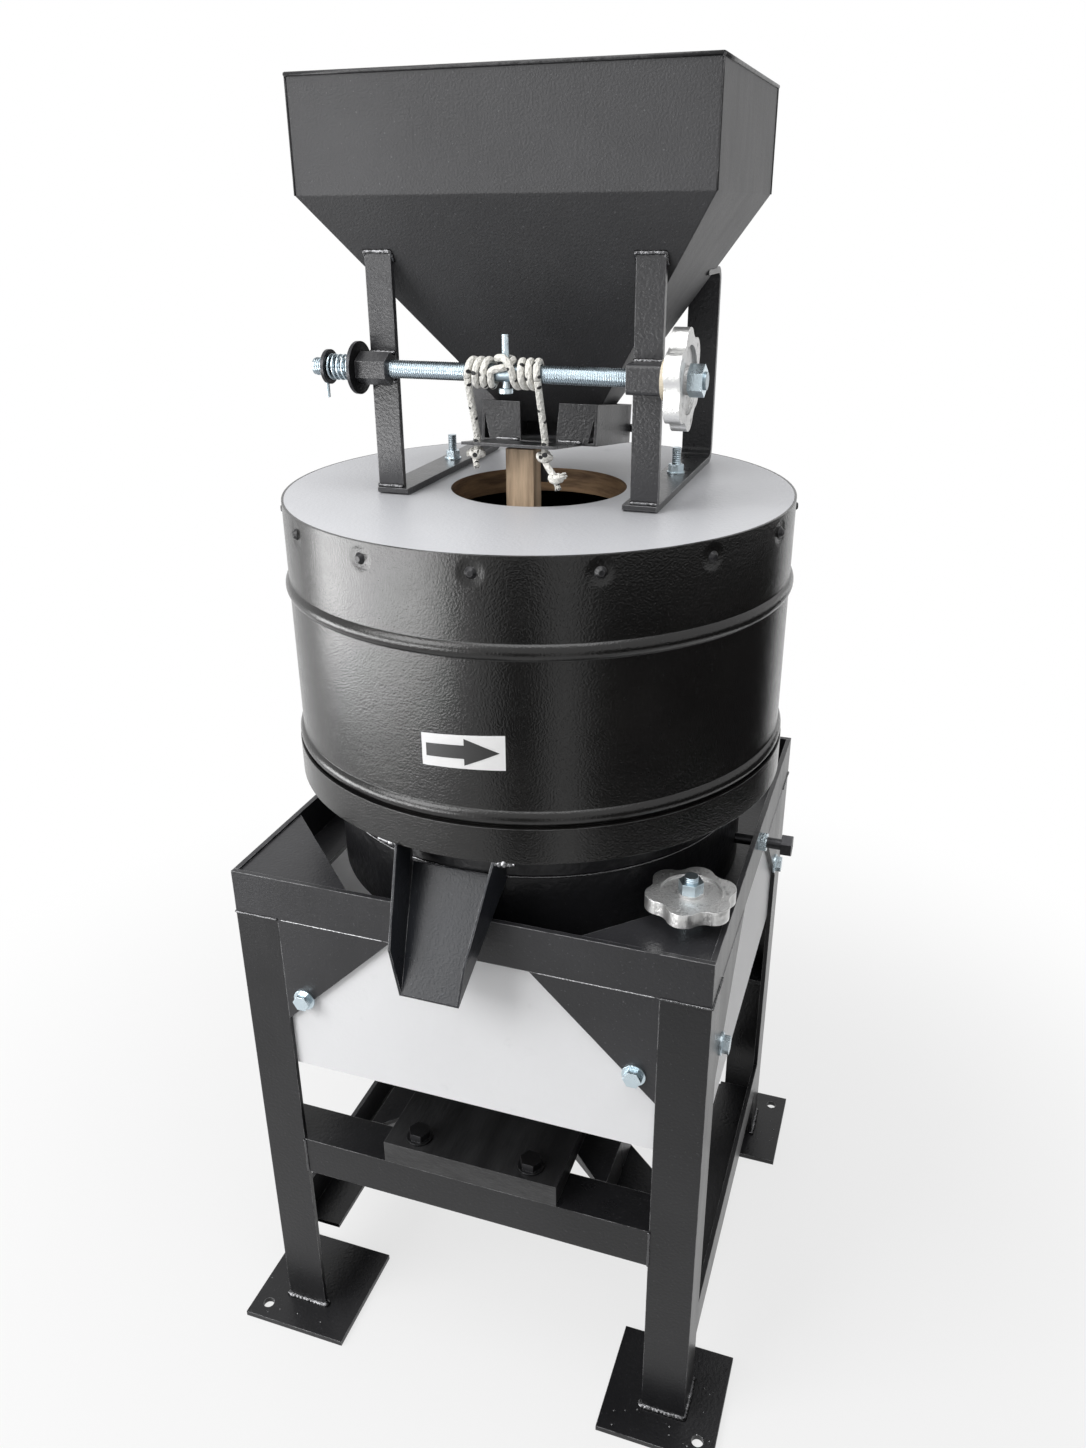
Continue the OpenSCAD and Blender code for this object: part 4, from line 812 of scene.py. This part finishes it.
def stand_beads(bm):
    out, back = HALF + 0.0003, INNER - 0.001
    for sx in (-1, 1):
        for sy in (-1, 1):
            mirrored(bm, sx, sy, [(INNER, out, JOINT_Z), (out, out, JOINT_Z), (out, INNER, JOINT_Z)], 0.0012)
            foot = [(back, WEB, FOOT_Z), (back, out, FOOT_Z), (out, out, FOOT_Z), (out, back, FOOT_Z)]
            mirrored(bm, sx, sy, foot, 0.0034)
            mirrored(bm, sx, sy, [(INNER, out - 0.0002, RAIL_LOW), (INNER, out - 0.0002, RAIL_TOP)], 0.0016)
            for _ in range(SPATTER_N):
                x, y = rng.uniform(SPATTER_LOW, SPATTER_HIGH), rng.uniform(SPATTER_LOW, SPATTER_HIGH)
                if x > HALF + 0.004 or y > HALF + 0.004:
                    dot = Matrix.Translation((sx * x, sy * y, PLATE_TOP)) @ Matrix.Diagonal((1, 1, 0.6, 1))
                    size = rng.uniform(0.0006, 0.0016)
                    bmesh.ops.create_icosphere(bm, subdivisions=1, radius=size, matrix=dot)


def feed_beads(bm):
    for s in (-1, 1):
        for z, r in ((0.9115, 0.0022), (1.0275, 0.0021), (1.0035, 0.0021)):
            bead(bm, [(s * LEG_IN, LEG_FRONT, z), (s * LEG_OUT, LEG_FRONT, z)], r)
        top = [(s * LEG_IN, LEG_BACK, LEG_CUT), (s * LEG_IN, LEG_FRONT, LEG_TOP),
               (s * LEG_OUT, LEG_FRONT, LEG_TOP), (s * LEG_OUT, LEG_BACK, LEG_CUT)]
        bead(bm, top, 0.0020)


def round_mill(r, z, start, end, step=3):
    headings = [math.radians(a) for a in range(start, end + 1, step)]
    return [(r * math.cos(a), r * math.sin(a), z) for a in headings]


def casing_beads(bm):
    bead(bm, round_mill(0.2062, 0.6062, -172, -8), 0.0014)


def chute_beads(bm):
    """Lumps at the chute's two upper corners: place, headings in degrees and thickness of each."""
    lumps = (
        (0.2366, 0.6385, -81, -76, 0.0030), (0.2366, 0.6385, -80, -78, 0.0040),
        (0.2360, 0.6380, -108, -103, 0.0030), (0.2360, 0.6382, -105, -103, 0.0042),
    )
    for radius, z, start, end, thick in lumps:
        bead(bm, round_mill(radius, z, start, end, 1), thick)


make("stand_welds", stand_beads, "frame", bead_paint)
make("seam_welds", seam_beads, "frame", bead_bare)
make("feed_welds", feed_beads, "frame", bead_paint)
make("casing_welds", casing_beads, "frame", bead_paint)
make("chute_welds", chute_beads, "frame", bead_bare)
print("welds laid on the stand, hopper legs, casing and chute")

# %% [markdown]
# ## Shoe welds
# The two tabs of the feed shoe's gate stand on its lip, held by short bright beads. They ride with the
# shoe.

# %% Shoe welds
GATE_Y = -0.127


def shoe_beads(bm):
    for s in (-1, 1):
        bead(bm, [shoe_point(s * x, GATE_Y - 0.0006, FLOOR + 0.0006) for x in (0.019, 0.032, 0.041)], 0.0016)


make("shoe_welds", shoe_beads, "shoe", bead_bare)
print("tabs welded")

# %% [markdown]
# ## Light and ground
# A pale floor and a white surround carry the mill's shadow. The eye, mirrors and clear things see the
# surround at full white, while the light that falls on the mill stays at a plain level. A large soft lamp
# stands at the left, and a long low strip, which only shows as a mirror image, gives the sheen on the
# drum's left half. Gloss black shows only what it mirrors, so two low dark flags stand in front and at
# the right, as in a product studio, and keep the drum's right half deep black.

# %% Stage
def seen(tree):
    """1 for what the eye sees, straight or in a reflection, and 0 for light on its way to a surface."""
    rays = tree.nodes.new("ShaderNodeLightPath")
    names = ("Is Camera Ray", "Is Glossy Ray", "Is Transmission Ray")
    eye, mirror, clear = (Field(tree, rays.outputs[name]) for name in names)
    return eye.maths("MAXIMUM", mirror).maths("MAXIMUM", clear)


def floor_look():
    """Pale floor with the mill's shadow, which runs out to plain white."""
    def paint(p, xyz, uv, edge):
        return {"Base Color": p.noise(3.0).mix((0.60, 0.60, 0.60), (0.62, 0.62, 0.62))}

    mat = look("floor", paint, Roughness=0.9)
    tree = mat.node_tree
    shader = Field(tree, tree.nodes["Principled BSDF"].outputs[0])
    place = Field(tree, tree.nodes["Texture Coordinate"].outputs["Object"])
    away = place.node("ShaderNodeVectorMath", {0: place}, out="Value", operation="LENGTH")
    glow = place.node("ShaderNodeEmission")
    share = seen(tree) * (0.72 + 0.28 * away.band(0.45, 1.2))
    both = place.node("ShaderNodeMixShader", {0: share, 1: shader, 2: glow})
    tree.links.new(both.socket, tree.nodes["Material Output"].inputs["Surface"])
    return mat


def floor_build(bm):
    below = Matrix.Translation((0, 0, -0.0005))
    bmesh.ops.create_grid(bm, x_segments=1, y_segments=1, size=6.0, matrix=below)


floor = make("floor", floor_build, None, floor_look())

FLAG_R, FLAG_H = 1.15, 0.7


def flag_build(start, end):
    """A low upright screen, bent round the mill between two headings in degrees."""
    def build(bm):
        bmesh.ops.create_grid(bm, x_segments=24, y_segments=1, size=1.0)
        for vert in bm.verts:
            a = math.radians(start + (end - start) * (vert.co.x + 1) / 2)
            vert.co = (FLAG_R * math.cos(a), FLAG_R * math.sin(a), FLAG_H * (vert.co.y + 1) / 2)

    return build


def felt(p, xyz, uv, edge):
    return {"Base Color": p.noise(40.0).mix((0.012, 0.012, 0.012), (0.02, 0.02, 0.02))}


felt_look = look("flag_felt", felt, Roughness=0.95)
for word, start, end in (("front", -88, -69), ("right", -54, 56)):
    flag = make("flag_" + word, flag_build(start, end), None, felt_look)
    flag.visible_camera = False

WORLD_LIGHT = 0.46
world = bpy.data.worlds.new("surround")
bpy.context.scene.world = world
world.use_nodes = True
back = world.node_tree.nodes["Background"]
back.inputs["Color"].default_value = (1, 1, 1, 1)
strength = seen(world.node_tree) * (1.0 - WORLD_LIGHT) + WORLD_LIGHT
world.node_tree.links.new(strength.socket, back.inputs["Strength"])


def lamp(name, place, target, size, power, mirror_only=False):
    data = bpy.data.lights.new(name, "AREA")
    data.shape = "RECTANGLE"
    data.size, data.size_y = size
    data.energy = power
    obj = bpy.data.objects.new(name, data)
    obj.location = place
    obj.rotation_euler = (Vector(target) - Vector(place)).to_track_quat("-Z", "Y").to_euler()
    obj.visible_camera = False
    obj.visible_diffuse = not mirror_only
    bpy.context.scene.collection.objects.link(obj)


lamp("key", (-1.6, -2.0, 2.2), (0, 0, 0.8), (1.8, 1.8), 68)
lamp("low_left", (-1.65, -1.2, 0.3), (0, 0, 0.72), (2.8, 0.7), 56, mirror_only=True)
lamp("top", (0.1, -0.4, 2.9), (0, 0, 0.9), (1.8, 1.8), 38)
lamp("rim_right", (0.95, 1.5, 0.45), (0, 0, 0.75), (0.25, 0.9), 1.0)
bpy.context.scene.view_settings.view_transform = "Standard"
print("stage lit")
